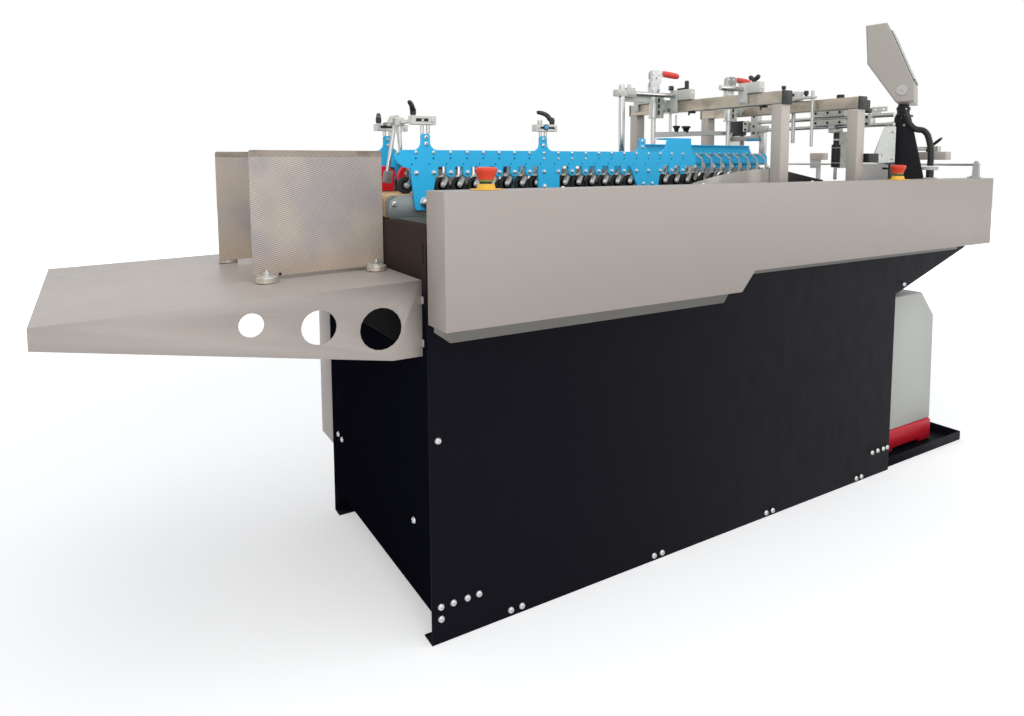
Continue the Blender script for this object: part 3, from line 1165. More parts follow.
def build_rail_clamps():
    near = Form("near_clamp_bar")
    slotted_bar(near, (0.0605, 0.1165), (0.21, 0.232), (1.0382, 1.057), (0.07, 0.0985, 1.0448, 1.0512))
    near.add("bolt zinc", screw_at((0.1085, 0.2102, 1.0475), NEAR, 0.0042, 0.0026),
        screw_at((0.086, 0.2128, 1.048), NEAR, 0.003, 0.0018))
    across = 0.0655
    near.add("rod steel", *[bar((x, NEAR_RAIL_Y, NECK_TOP + 0.0004), (x, NEAR_RAIL_Y, 1.04), 0.0042)
        for x in (NECKS[0] - 0.007, NECKS[0] + 0.007)])
    near.add("rod steel", bar((across, 0.228, 1.046), (across, 0.3936, 1.046), 0.0045))
    near.add("alloy", lathe([(0.0108, 0), (0.012, 0.0012), (0.012, 0.0228), (0.0108, 0.024), (0, 0.024)],
        (across, 0.314, 1.052), FAR, 28),
        block((across - 0.0085, across + 0.0085), (0.286, 0.306), (1.038, 1.056), 0.0014),
        block((across - 0.007, across + 0.02), (0.338, 0.356), (1.04, 1.054), 0.0014))
    near.add("bolt zinc", screw_at((across, 0.3142, 1.054), NEAR, 0.0046),
        screw_at((across - 0.001, 0.296, 1.0556), UP, 0.0038, 0.0034),
        screw_at((across + 0.008, 0.347, 1.0536), UP, 0.0036, 0.0034))
    top, low = Vector((across, 0.326, 1.045)), Vector((0.043, 0.318, 0.936))
    near.add("rod steel", bar(top, low, 0.0046), bar((across, 0.296, 1.045), (0.068, 0.299, 0.985), 0.0036,
        16), bar((0.0775, 0.347, 1.04), (0.086, 0.35, 0.984), 0.0032, 16))
    shoe = block((0.0335, 0.0515), (0.309, 0.325), (0.91, 0.937), 0.0016, 3)
    near.add("cast grey", turned_about(shoe, (0.0425, 0.317, 0.9235), "Y", 9.0))
    near.add("black steel", lathe([(0.003, -0.001), (0.003, 0.0004), (0.0024, 0.0006), (0, 0.0006)],
        (0.0418, 0.3094, 0.918), NEAR, 16))
    near.add("bolt zinc", screw_at((0.0418, 0.3094, 0.918), NEAR, 0.002, 0.0014))
    near.done("near_rail_clamp", "alloy")

    far = Form("far_clamp_bar")
    slotted_bar(far, (0.046, 0.1235), (0.394, 0.416), (1.0306, 1.047), (0.056, 0.108, 1.037, 1.042))
    far.add("rod steel", *[bar((x, FAR_RAIL_Y, NECK_TOP + 0.0004), (x, FAR_RAIL_Y, 1.032), 0.0042)
        for x in (FAR_NECK - 0.007, FAR_NECK + 0.007)])
    far.add("bolt zinc", screw_at((0.117, 0.3942, 1.0388), NEAR, 0.0038, 0.0026),
        screw_at((0.078, 0.405, 1.0468), UP, 0.004, 0.0036))
    far.done("far_rail_clamp", "alloy")

    middle = Form("middle_clamp_bar")
    slotted_bar(middle, (0.3734, 0.4323), (0.21, 0.232), (1.0302, 1.0465), (0.38, 0.426, 1.0364, 1.041))
    middle.add("rod steel", *[bar((x, NEAR_RAIL_Y, NECK_TOP + 0.0004), (x, NEAR_RAIL_Y, 1.032), 0.0042)
        for x in (NECKS[1] - 0.007, NECKS[1] + 0.007)])
    middle.add("zinc", lathe([(0.0056, 0), (0.006, 0.0008), (0.006, 0.0105), (0.0052, 0.0114), (0, 0.0114)],
        (0.3896, NEAR_RAIL_Y, 1.046)))
    middle.add("cap blue", lathe([(0.0056, 0), (0.0058, 0.001), (0.005, 0.0024), (0.003, 0.003), (0, 0.0031)],
        (0.401, 0.21, 1.04), NEAR, 22))
    middle.add("black plastic",
        lathe([(0.0078, 0), (0.0078, 0.0014), (0.007, 0.0018), (0, 0.0018)], (0.401, 0.2108, 1.04), NEAR, 22))
    middle.add("bolt zinc", screw_at((0.38, 0.2102, 1.0386), NEAR, 0.0034, 0.0024),
        screw_at((0.427, 0.2102, 1.0386), NEAR, 0.0034, 0.0024))
    middle.done("middle_rail_clamp", "alloy")

    levers = (("near", (0.0675, NEAR_RAIL_Y, 1.0573), 236.0, 0.013),
        ("far", (0.055, FAR_RAIL_Y, 1.0473), 70.0, 0.01),
        ("middle", (0.424, NEAR_RAIL_Y, 1.0468), 147.0, 0.017))
    for name, pivot, swing, rise in levers:
        form = Form(name + "_lever_grip").add("black plastic", *lever_bits(pivot, math.radians(swing), rise))
        cap = lathe([(0.0046, 0), (0.0046, 0.0006), (0.0036, 0.0011), (0, 0.0012)],
            Vector(pivot) + Vector((0, 0, 0.0162)), sides=20)
        form.add("cap blue" if name == "far" else "black steel", cap)
        form.add("zinc",
            lathe([(0.0066, 0), (0.0066, 0.0009), (0, 0.0009)], Vector(pivot) - Vector((0, 0, 0.0001))))
        form.done(name + "_clamp_lever", "black_plastic", name + "_lever")


def build_feed_head():
    gate = [(0.051, 0.8905), (0.066, 0.8905), (0.0678, 0.906), (0.0697, 0.9221), (0.0726, 0.933),
        (0.0758, 0.9418), (0.0756, 0.945), (0.075, 0.9472), (0.07, 0.948), (0.0642, 0.9478), (0.06, 0.947),
        (0.056, 0.9455), (0.053, 0.9428), (0.0507, 0.9392), (0.0484, 0.934), (0.0468, 0.928), (0.047, 0.92),
        (0.0478, 0.915), (0.0489, 0.91)]
    form = Form("near_gate_shell").add("feed red", slab(gate, "Y", 0.258, 0.272, (), 0.0016),
        slab([(0.056, 0.914), (0.065, 0.914), (0.069, 0.938), (0.06, 0.94)], "Y", 0.257, 0.259, (), 0.0008))
    form.add("bolt zinc", screw_at((0.062, 0.257, 0.932), NEAR, 0.0034, 0.0024))
    form.done("near_feed_gate", "red_plastic")
    gate = [(0.04, 0.8905), (0.072, 0.8905), (0.0724, 0.905), (0.0724, 0.918), (0.0752, 0.9245),
        (0.0772, 0.9295), (0.0745, 0.934), (0.0713, 0.9375), (0.067, 0.9402), (0.0624, 0.9426),
        (0.0566, 0.9462), (0.0506, 0.9484), (0.047, 0.9483), (0.044, 0.9477), (0.0406, 0.9452),
        (0.038, 0.942), (0.0372, 0.926), (0.037, 0.91)]
    form = Form("far_gate_shell").add("feed red", slab(gate, "Y", 0.354, 0.368, (), 0.0016),
        slab([(0.043, 0.898), (0.068, 0.898), (0.069, 0.912), (0.043, 0.912)], "Y", 0.353, 0.355, (), 0.0008))
    form.add("bolt zinc", screw_at((0.064, 0.354, 0.93), NEAR, 0.0038, 0.0028),
        screw_at((0.05, 0.354, 0.92), NEAR, 0.0034, 0.0026))
    form.done("far_feed_gate", "red_plastic")

    hub = Vector((0.0556, 0.243, 0.9068))
    form = Form("feed_wheel_tyre")
    width = 0.013
    low = hub - Vector((0, width / 2, 0))
    form.add("rubber", lathe([(0.0098, 0.0006), (0.015, 0), (0.0168, 0.0002), (0.0181, 0.0012),
        (0.0185, 0.0026), (0.0185, width - 0.0026), (0.0181, width - 0.0012), (0.0168, width - 0.0002),
        (0.015, width), (0.0098, width - 0.0006), (0.0098, 0.0006)], low, FAR, 44))
    form.add("cast grey",
        lathe([(0.0052, 0.0004), (0.0062, 0), (0.007, 0.001), (0.01, 0.0016), (0.01, width - 0.0016),
        (0.007, width - 0.001), (0.0062, width), (0.0052, width - 0.0004), (0.0052, 0.0004)], low, FAR, 32))
    form.done("feed_wheel", "rubber", "wheel")
    outline = ([(0.049, 0.9075)] + arc(0.0556, 0.9068, 0.0068, 175, 330, 8) + [(0.0652, 0.909),
        (0.0678, 0.916), (0.0688, 0.924), (0.069, 0.932), (0.0688, 0.947), (0.0612, 0.947), (0.0622, 0.933),
        (0.0618, 0.924), (0.0598, 0.917), (0.0566, 0.9134), (0.052, 0.9116)])
    form = Form("feed_wheel_arms")
    for side in (-1, 1):
        face = hub.y + side * 0.0093
        form.add("zinc", slab(outline, "Y", face - 0.0011, face + 0.0011, (), 0.0003))
    form.add("zinc", block((0.0612, 0.0682), (hub.y - 0.0095, hub.y + 0.0095), (0.938, 0.947), 0.0008),
        block((0.0612, 0.0682), (NEAR_RAIL_Y + 0.0033, hub.y - 0.009), (0.94, 0.947), 0.0005))
    form.add("bolt zinc", bar(hub - Vector((0, 0.011, 0)), hub + Vector((0, 0.011, 0)), 0.0044),
        hexagon(hub - Vector((0, 0.014, 0)), hub - Vector((0, 0.0104, 0)), 0.0078),
        hexagon(hub + Vector((0, 0.0104, 0)), hub + Vector((0, 0.0134, 0)), 0.0078))
    form.done("feed_wheel_fork", "zinc")


def build_belts():
    for side, face, away in (("near", 0.2257, -1), ("far", 0.4003, 1)):
        softened(side + "_belt_beam", "beam paint", 0.0007, 2)
        softened(side + "_carrier_belt", "belt", 0.0006, 2)
        inner = sorted((face - away * 0.0005, face - away * 0.0043))
        Form(side + "_beam_foot").add("beam paint", slab([(0.0125, 0.8385), (0.0195, 0.8206), (0.3, 0.8206),
            (0.3, 0.8385)], "Y", *inner, (), 0.0005)).done()
        head = Form(side + "_beam_head").add("bolt zinc",
            lathe([(0.0056, -0.0005), (0.006, 0.0006), (0.0056, 0.0026), (0.0036, 0.0042), (0.0024, 0.0044),
            (0.0022, 0.0026), (0, 0.0026)], (0, 0, 0), sides=20))
        spots = [((0.0233, face, 0.8675), (0, away, 0))]
        spots += [((x, face, 0.862), (0, away, 0)) for x in (0.2, 0.36, 0.52, 0.84, 1.0, 1.16)]
        repeated(side + "_beam_bolts", [head], spots, loose=1.0)
    softened("feed_belt", "belt", 0.0008, 2)


class MACHINE_OT_feed(bpy.types.Operator):
    """Belts, feed head, and the rail clamps with their levers"""
    bl_idname = "machine.feed"
    bl_label = "Feed head and rail clamps"

    def execute(self, context):
        build_rail_clamps()
        build_feed_head()
        build_belts()
        return {"FINISHED"}


# Gantries and their tooling
TUBE = 0.035
GANTRY_X = (1.028, 1.358)
GANTRY_Y = (0.034, 0.634)
GANTRY_TOP = 1.146
CLAMP_Y = 0.48


def round_knob(spot, radius, height, form):
    form.add("black plastic",
        lathe([(radius * 0.45, 0), (radius * 0.45, height * 0.25), (radius * 0.92, height * 0.34),
        (radius, height * 0.48), (radius, height * 0.84), (radius * 0.82, height), (0, height)], spot))


def build_gantries():
    near, far = GANTRY_Y
    for name, x in zip(("first_gantry", "second_gantry"), GANTRY_X):
        base = DECK_TOP + CLEAR
        form = Form(name + "_frame")
        for y in (near, far):
            form.add("post paint",
                block((x, x + TUBE), (y, y + TUBE), (base, GANTRY_TOP - TUBE + 0.0004), 0.0028, 3), block(
                (x - 0.012, x + TUBE + 0.012), (y - 0.012, y + TUBE + 0.012), (base, base + 0.006), 0.001))
            form.add("bolt zinc", *[screw_at((x + dx, y + dy, base + 0.006), UP, 0.0034, 0.0034)
                for dx in (-0.006, TUBE + 0.006) for dy in (-0.006, TUBE + 0.006)])
        form.add("tube steel",
            block((x, x + TUBE), (near, far + TUBE), (GANTRY_TOP - TUBE, GANTRY_TOP), 0.0026, 3))
        low, high = GANTRY_TOP - TUBE, GANTRY_TOP
        for y0, y1, out in ((near - 0.0045, near + 0.001, -1), (far + TUBE - 0.001, far + TUBE + 0.0045, 1)):
            form.add("black plastic",
                block((x - 0.001, x + TUBE + 0.001), (y0, y1), (low - 0.001, high + 0.001), 0.0018, 3))
            face = y0 if out < 0 else y1
            form.add("black plastic", block((x + 0.006, x + TUBE - 0.006),
                sorted((face - out * 0.001, face + out * 0.0006)), (low + 0.006, high - 0.006), 0.0005))
        form.done(name, "tube_steel")

    fittings = Form("gantry_fittings")
    x = GANTRY_X[0] + TUBE / 2
    round_knob((x, 0.044, GANTRY_TOP), 0.006, 0.013, fittings)
    x = GANTRY_X[1]
    fittings.add("black plastic", lathe([(0.01, 0), (0.0112, 0.001), (0.0112, 0.009), (0.0096, 0.0105),
        (0, 0.0105)], (x + 0.014, 0.104, GANTRY_TOP), sides=28))
    fittings.add("zinc",
        lathe([(0.007, 0), (0.007, 0.0016), (0, 0.0016)], (x + 0.018, 0.056, GANTRY_TOP), sides=20))
    fittings.add("black plastic", block((x + TUBE + 0.0008, x + TUBE + 0.025), (0.035, 0.056), (1.105, 1.138),
        0.0025, 3), block((x + TUBE + 0.025, x + TUBE + 0.042), (0.04, 0.054), (1.101, 1.115), 0.002, 3))
    fittings.add("cap blue", lathe([(0.0044, 0), (0.0044, 0.0012), (0.003, 0.0018), (0, 0.0018)],
        (x + TUBE + 0.013, 0.044, 1.1378), sides=18))
    low = GANTRY_TOP - TUBE
    for x, y in ((GANTRY_X[0] - 0.008, 0.376), (GANTRY_X[0] - 0.008, 0.099), (GANTRY_X[1] - 0.008, 0.33)):
        fittings.add("black plastic", block((x, x + 0.024), (y - 0.005, y + 0.005),
            (low - 0.0065, low - 0.0003), 0.0018), hose(smooth_line([(x + 0.003, y, low - 0.0045),
            (x - 0.004, y - 0.004, low - 0.008), (x - 0.009, y - 0.009, low - 0.013)], 4),
            [0.0036, 0.0036, 0.0036, 0.0034, 0.0032, 0.003, 0.0028, 0.0026, 0.0016]))
    back = GANTRY_X[1] + TUBE
    fittings.add("zinc", bar((1.41, 0.303, 1.018), (1.41, 0.303, 1.148), 0.0064, 24),
        bar((1.343, 0.18, 1.004), (1.343, 0.18, 1.1736), 0.0046))
    fittings.add("alloy", block((back + 0.0003, 1.42), (0.288, 0.318), (1.114, 1.143), 0.0014),
        block((1.336, 1.35), (0.17, 0.246), (1.149, 1.157), 0.0012))
    fittings.add("carrier paint", block((1.348, 1.376), (0.239, 0.274), (GANTRY_TOP + CLEAR, 1.176), 0.0016))
    fittings.add("black plastic", screw_at((1.3478, 0.256, 1.166), BACK, 0.0042),
        lathe([(0.004, 0), (0.0044, 0.004), (0.0074, 0.006), (0.0074, 0.015), (0.006, 0.0176), (0, 0.0178)],
        (1.343, 0.204, 1.1568)))
    fittings.done()


def build_carriers():
    front = GANTRY_X[0] - 0.0003
    top, low = GANTRY_TOP + CLEAR, GANTRY_TOP - TUBE
    level = 1.161

    form = Form("inner_carrier")
    form.add("carrier paint", block((front - 0.009, front), (0.432, 0.462), (low - 0.003, 1.1785), 0.0014),
        block((front - 0.008, GANTRY_X[0] + 0.012), (0.372, 0.446), (top, 1.178), 0.0018),
        block((0.785, 0.859), (0.43, 0.45), (1.149, 1.169), 0.0024, 3),
        block((0.823, 0.853), (0.427, 0.453), (1.154, 1.176), 0.002, 3))
    form.add("rod steel", bar((0.857, 0.44, level), (front - 0.004, 0.44, level), 0.007, 28),
        lathe([(0.0092, 0), (0.0095, 0.001), (0.0095, 0.19), (0.008, 0.1948), (0.004, 0.1968), (0, 0.197)],
        (0.811, 0.44, 0.988), sides=32))
    form.add("alloy",
        lathe([(0.0055, 0), (0.0055, 0.011), (0.0042, 0.012), (0, 0.012)], (0.838, 0.44, 1.174), sides=20))
    form.add("bolt zinc", screw_at((0.847, 0.4302, 1.159), NEAR), screw_at((0.793, 0.4302, 1.159), NEAR),
        screw_at((front - 0.0085, 0.447, 1.169), BACK), screw_at((front - 0.0085, 0.447, 1.118), BACK),
        screw_at((1.03, 0.3725, 1.164), NEAR, 0.0036))
    form.add("black plastic", block((1.024, 1.032), (0.396, 0.436), (1.177, 1.184), 0.002), lathe(
        [(0.006, 0), (0.0066, 0.001), (0.0066, 0.023), (0.0052, 0.026), (0, 0.0262)], (1.028, 0.396, 1.178)))
    form.add("black plastic", block((0.999, 1.012), (0.435, 0.448), (1.177, 1.191), 0.0022, 3))
    form.add("cap blue", lathe([(0.0034, 0), (0.0034, 0.001), (0, 0.0012)], (0.9992, 0.441, 1.184), BACK, 16))
    form.add("carrier paint", block((0.829, 0.929), (0.445, 0.451), (1.136, 1.156), 0.001))
    form.done("inner_tool_carrier", "carrier_paint")

    form = Form("outer_carrier")
    form.add("carrier paint", block((front - 0.009, front), (0.15, 0.18), (low + 0.008, 1.176), 0.0014),
        block((front - 0.008, GANTRY_X[0] + 0.012), (0.104, 0.178), (top, 1.176), 0.0018))
    form.add("rod steel",
        bar((0.934, 0.166, level - 0.002), (front - 0.004, 0.166, level - 0.002), 0.0072, 28))
    form.add("bolt zinc", screw_at((front - 0.0085, 0.165, 1.127), BACK),
        screw_at((1.03, 0.1045, 1.16), NEAR, 0.0036))
    form.add("black plastic", lathe([(0.006, 0), (0.006, 0.008), (0.0076, 0.01), (0.0076, 0.013), (0, 0.013)],
        (1.028, 0.13, 1.17)), hose(smooth_line([(1.028, 0.147, 1.1925), (1.028, 0.139, 1.1865),
        (1.028, 0.13, 1.183), (1.028, 0.121, 1.1865), (1.028, 0.113, 1.1925)], 3), [0.004, 0.006, 0.0066,
        0.0064, 0.0058, 0.006, 0.0066, 0.006, 0.0058, 0.0064, 0.0066, 0.006, 0.004], 14))
    form.done("outer_tool_carrier", "carrier_paint")

    form = Form("far_carrier")
    form.add("carrier paint", block((front - 0.006, front), (0.622, 0.644), (low + 0.012, 1.174), 0.0012),
        block((front - 0.005, GANTRY_X[0] + 0.006), (0.556, 0.6399), (top, 1.173), 0.0014))
    form.add("bolt zinc", screw_at((front - 0.0048, 0.58, 1.162), BACK),
        screw_at((front - 0.0058, 0.633, 1.13), BACK, 0.0036))
    form.done("far_tool_carrier", "carrier_paint")


def build_push_clamps():
    y = CLAMP_Y
    for name, back in (("first", GANTRY_X[0]), ("second", GANTRY_X[1])):
        x = back - 0.06
        form = Form(name + "_clamp_frame")
        form.add("zinc", lathe([(0.009, 0), (0.016, 0), (0.0165, 0.0006), (0.0165, 0.0034), (0.016, 0.004),
            (0.0134, 0.0046), (0.0132, 0.006), (0.0132, 0.09), (0.0126, 0.0915), (0.009, 0.0915), (0.009, 0)],
            (x, y, 1.0925), sides=36))
        slots = [[(x + 0.0195 + dx, z + dz) for dx, dz in [(0.0045 * math.cos(a), 0.0036 * math.sin(a)
            + (0.004 if math.sin(a) > 0 else -0.004)) for a in [math.pi * (i + 0.5) / 6 for i in range(12)]]]
            for z in (1.11, 1.13, 1.148)]
        plate = slab([(x + 0.0095, 1.0935), (x + 0.028, 1.0935), (x + 0.034, 1.1), (x + 0.034, 1.156),
            (x + 0.029, 1.162), (x + 0.0095, 1.162)], "Y", y - 0.0045, y - 0.002, slots, 0.0005)
        form.add("alloy", plate)
        form.add("black steel", block((x + 0.014, x + 0.03), (y - 0.002, y - 0.0004), (1.1, 1.157), 0.0002))
        form.add("zinc", block((x + 0.01, x + 0.0435), (y + 0.001, y + 0.004), (1.094, 1.16), 0.0008),
            block((x + 0.03, x + 0.0435), (y - 0.004, y + 0.002), (1.11, 1.154), 0.0008),
            block((x + 0.0405, back - 0.0004), (y - 0.014, y + 0.014), (1.113, 1.15), 0.001))
        for side in (-1, 1):
            face = y + side * 0.008
            link = slab([(x - 0.015, 1.172), (x + 0.013, 1.17), (x + 0.016, 1.196), (x + 0.024, 1.205),
                (x + 0.0245, 1.228), (x + 0.0215, 1.237), (x + 0.015, 1.24), (x - 0.006, 1.24),
                (x - 0.014, 1.233), (x - 0.015, 1.218), (x - 0.0105, 1.208), (x - 0.0165, 1.196)], "Y",
                face - 0.0018, face + 0.0018, [circle(x + 0.002, 1.214, 0.0036, 16)], 0.0005)
            form.add("zinc", link)
            for dx, z, size in ((0.0135, 1.229, 0.0048), (-0.009, 1.228, 0.0042), (-0.012, 1.18, 0.0036),
                    (0.013, 1.18, 0.0036)):
                form.add("bolt zinc", lathe([(size, 0), (size, 0.001), (size * 0.7, 0.002), (0, 0.0022)],
                    (x + dx, y + side * 0.0097, z), (0, side, 0), 20))
        form.add("zinc", block((x - 0.015, x + 0.015), (y - 0.01, y + 0.01), (1.17, 1.19), 0.0014),
            block((x - 0.012, x + 0.002), (y - 0.0064, y + 0.0064), (1.188, 1.238), 0.0014),
            bar((x + 0.0135, y - 0.01, 1.229), (x + 0.0135, y + 0.01, 1.229), 0.003, 16),
            block((back - 0.0105, back - 0.0004), (y - 0.018, y + 0.018), (1.122, 1.144), 0.001))
        form.add("bolt zinc", screw_at((x + 0.041, y - 0.01, 1.142), BACK, 0.003, 0.0026),
            screw_at((x + 0.041, y + 0.01, 1.12), BACK, 0.003, 0.0026))
        form.done(name + "_clamp_body", "zinc")
        form = Form(name + "_clamp_rod")
        form.add("rod steel", bar((x, y, 1.006), (x, y, 1.125), 0.0076, 28),
            lathe([(0.006, 0), (0.01, 0.001), (0.01, 0.007), (0.008, 0.008)], (x, y, 0.999), sides=28))
        form.add("rubber", lathe([(0.007, 0), (0.0078, 0.0008), (0.0078, 0.0016)], (x, y, 0.998)))
        form.done(name + "_plunger", "bright_steel", name + "_rod")
        form = Form(name + "_clamp_grip")
        form.add("alloy", block((x + 0.0045, x + 0.042), (y - 0.0036, y + 0.0036), (1.221, 1.238), 0.002, 3))
        grip = [(x + 0.034, y, 1.2312), (x + 0.0365, y, 1.2312), (x + 0.04, y, 1.2312), (x + 0.06, y, 1.23),
            (x + 0.08, y, 1.2285), (x + 0.093, y, 1.2274), (x + 0.0985, y, 1.227), (x + 0.1008, y, 1.2268),
            (x + 0.1015, y, 1.2267)]
        form.add("handle red",
            hose(grip, [0.007, 0.0088, 0.0096, 0.01, 0.0098, 0.009, 0.0078, 0.0058, 0.0026], 28))
        form.done(name + "_clamp_handle", "handle_red", name + "_handle")


def build_guide_bar():
    y = CLAMP_Y + 0.016
    form = Form("guide_bar_strip")
    outline = [(0.985, 1.0338), (1.1, 1.0393), (1.218, 1.0445), (1.305, 1.0465), (1.305, 1.0595),
        (1.218, 1.0595), (1.1, 1.055), (0.985, 1.0505)]
    form.add("zinc", slab(outline, "Y", y - 0.005, y + 0.005, (), 0.0008))
    form.add("rod steel", bar((1.053, y, 1.045), (1.053, y, GANTRY_TOP - TUBE - 0.0004), 0.0042),
        bar((1.078, y, 1.07), (1.078, y, 1.108), 0.003, 16))
    for x, wide in ((1.08, 1.0), (1.122, 1.25)):
        form.add("black plastic",
            lathe([(0.0056, 0), (0.0064 * wide, 0.004), (0.0086 * wide, 0.013), (0.0118 * wide, 0.0165),
            (0.0118 * wide, 0.0205), (0.0104 * wide, 0.0216), (0, 0.022)], (x, y, 1.0515), sides=28))
    form.done("flat_guide_bar", "bright_steel")


class MACHINE_OT_tooling(bpy.types.Operator):
    """Gantries with carriers, push clamps and the guide bar"""
    bl_idname = "machine.tooling"
    bl_label = "Gantries and tooling"

    def execute(self, context):
        build_gantries()
        build_carriers()
        build_push_clamps()
        build_guide_bar()
        return {"FINISHED"}


# Cross shafts, press unit, plough sheet, apron and end fittings
def build_cross_shafts():
    x = 1.5
    low, high = 1.069, 1.0968
    form = Form("cross_shaft_set")
    form.add("rod steel", bar((x, 0.01, low), (x, 0.658, low), 0.0062, 24),
        bar((x, 0.01, high), (x, 0.658, high), 0.0067, 24))
    for y0, y1 in ((0.08, 0.104), (0.564, 0.588)):
        form.add("alloy", block((x - 0.013, x + 0.013), (y0, y1), (1.0655, 1.101), 0.0016))
        form.add("black plastic",
            *[screw_at((x - 0.0128, (y0 + y1) / 2, z), BACK, 0.0042, 0.0034) for z in (1.073, 1.094)])
        form.add("black plastic", screw_at((x, (y0 + y1) / 2, 1.1008), UP, 0.004, 0.004))
    form.add("alloy", block((x - 0.015, x + 0.015), (0.17, 0.29), (1.0735, 1.0915), 0.0016),
        block((x - 0.015, x + 0.015), (0.17, 0.29), (1.101, 1.127), 0.0016))
    form.add("black plastic", *[screw_at((x - 0.0148, y, z), BACK, 0.004, 0.0032)
        for y in (0.185, 0.23, 0.275) for z in (1.0825, 1.114)])
    form.add("black plastic", screw_at((x, 0.19, 1.1268), UP, 0.0044, 0.005))
    round_knob((x, 0.262, 1.1262), 0.0085, 0.015, form)
    for y, out in ((0.03, -1), (0.638, 1)):
        outline = [(1.4405, 0.9866), (1.4425, 0.954), (1.54, 0.954), (1.54, 1.062), (1.538, 1.064),
            (1.486, 1.064)]
        form.add("zinc", slab(outline, "Y", y - 0.002, y + 0.002, [circle(1.472, 0.975, 0.0042, 16)], 0.0005))
        form.add("zinc", block((1.536, 1.54), sorted((y, y - out * 0.012)), (0.9545, 1.063), 0.0005))
        form.add("black steel", block((1.3945, 1.444), (y - 0.011, y + 0.011), (0.955, 0.982), 0.0016, 3))
        form.add("black plastic", block((1.515, 1.54), (y - 0.003, y + 0.003), (0.8203, 0.956), 0.0008))
        form.add("bolt zinc", *[hexagon((px, y + out * 0.0016, pz), (px, y + out * 0.006, pz), 0.009)
            for px, pz in ((1.456, 0.968), (1.527, 0.968), (1.527, 1.048))])
    form.add("carrier paint", slab([(0.033, 1.108), (0.081, 1.108),
        (0.083, 1.11), (0.083, 1.121), (0.081, 1.123), (0.033, 1.123), (0.031, 1.121), (0.031, 1.11)], "X",
        x - 0.006, x - 0.002, [circle(0.043, 1.1155, 0.0032, 16), circle(0.07, 1.1155, 0.0032, 16)], 0.0006),
        block((x - 0.006, x + 0.006), (0.056, 0.08), (1.099, 1.1085), 0.001),
        block((x - 0.01, x + 0.014), (0.524, 0.554), (1.05, 1.13), 0.0014),
        block((x - 0.012, x + 0.01), (0.486, 0.524), (1.062, 1.084), 0.0014))
    form.add("black plastic", *[screw_at((x - 0.0098, 0.539, z), BACK, 0.0042, 0.0032)
        for z in (1.06, 1.083, 1.118)], block((x - 0.014, x + 0.01), (0.59, 0.656), (1.052, 1.105), 0.002))
    round_knob((x, 0.538, 1.1296), 0.009, 0.016, form)
    form.add("cap blue", block((x - 0.018, x - 0.01), (0.51, 0.568), (1.0305, 1.0405), 0.001))
    form.add("zinc", block((x - 0.008, x + 0.01), (0.495, 0.515), (0.985, 1.064), 0.0012))
    form.add("post paint", block((x - 0.012, x - 0.002), (0.518, 0.656), (1.032, 1.049), 0.0012))
    form.done("cross_shafts", "grey_steel")


def build_press():
    x, y = 1.4925, 0.2
    form = Form("press_unit")
    profile = [(0, 0.9395), (0.0128, 0.9395), (0.0138, 0.9405), (0.0138, 0.952), (0.013, 0.9526),
        (0.013, 0.9546), (0.0138, 0.9552), (0.0138, 1.0), (0.013, 1.0006), (0.013, 1.0026), (0.0138, 1.0032),
        (0.0138, 1.011), (0.0128, 1.012), (0.009, 1.012), (0.009, 1.05), (0, 1.05)]
    form.add("black steel", lathe([(r, h - 0.9395) for r, h in reversed(profile)], (x, y, 0.9395), sides=36))
    for z in (0.9536, 1.0016, 1.026):
        form.add("alloy",
            lathe([(0.0096, 0), (0.014, 0), (0.0141, 0.0005), (0.0141, 0.0019), (0.0096, 0.002)] if z < 1.01
            else [(0.0085, 0), (0.0098, 0), (0.0098, 0.005), (0.0085, 0.005)], (x, y, z - 0.001), sides=32))
    plate = [(1.5065, 0.937), (1.554, 0.937), (1.556, 0.939), (1.556, 1.04), (1.542, 1.054), (1.5065, 1.054)]
    form.add("carrier paint",
        slab(plate, "Y", y - 0.003, y + 0.003, [circle(1.53, 0.956, 0.0045, 16)], 0.0006))
    form.add("zinc", block((x, 1.51), (y - 0.003, y + 0.003), (0.96, 1.0)))
    form.add("zinc", block((1.484, 1.53), (y + 0.0025, y + 0.025), (1.0495, 1.062), 0.0012),
        block((1.484, 1.53), (y + 0.0025, y + 0.025), (1.0755, 1.078), 0.0004),
        block((1.484, 1.4925), (y + 0.0025, y + 0.025), (1.062, 1.076)),
        block((1.5075, 1.53), (y + 0.0025, y + 0.025), (1.062, 1.076)))
    form.add("bolt zinc", *[screw_at((px, y - 0.0028, pz), NEAR) for px, pz in ((1.518, 0.98), (1.518, 1.02),
        (1.543, 0.99), (1.543, 1.03))], screw_at((1.52, y + 0.0027, 1.056), NEAR, 0.0036, 0.0026))
    form.add("rod steel",
        lathe([(0, 0), (0.004, 0), (0.0055, 0.002), (0.0055, 0.0405), (0, 0.0405)], (x, y, 0.9)))
    form.done("press_cylinder", "grey_green")


def ribbon(points, thick, low, crest):
    """Upright sheet following a plan line; its top edge follows heights given along X."""
    bit = bmesh.new()
    walls = []
    line = [Vector((px, py, 0)) for px, py in points]
    for index, here in enumerate(line):
        ahead = line[min(index + 1, len(line) - 1)] - line[max(index - 1, 0)]
        side = Vector((-ahead.y, ahead.x, 0)).normalized() * thick / 2
        top = float(np.interp(here.x, [c[0] for c in crest], [c[1] for c in crest]))
        ring = [here + side, here - side]
        walls.append([bit.verts.new((p.x, p.y, z))
            for p, z in ((ring[0], low), (ring[1], low), (ring[1], top), (ring[0], top))])
    for one, two in zip(walls, walls[1:]):
        for k in range(4):
            bit.faces.new((one[k], one[(k + 1) % 4], two[(k + 1) % 4], two[k]))
    bit.faces.new(list(reversed(walls[0])))
    bit.faces.new(walls[-1])
    bmesh.ops.recalc_face_normals(bit, faces=bit.faces)
    return bit


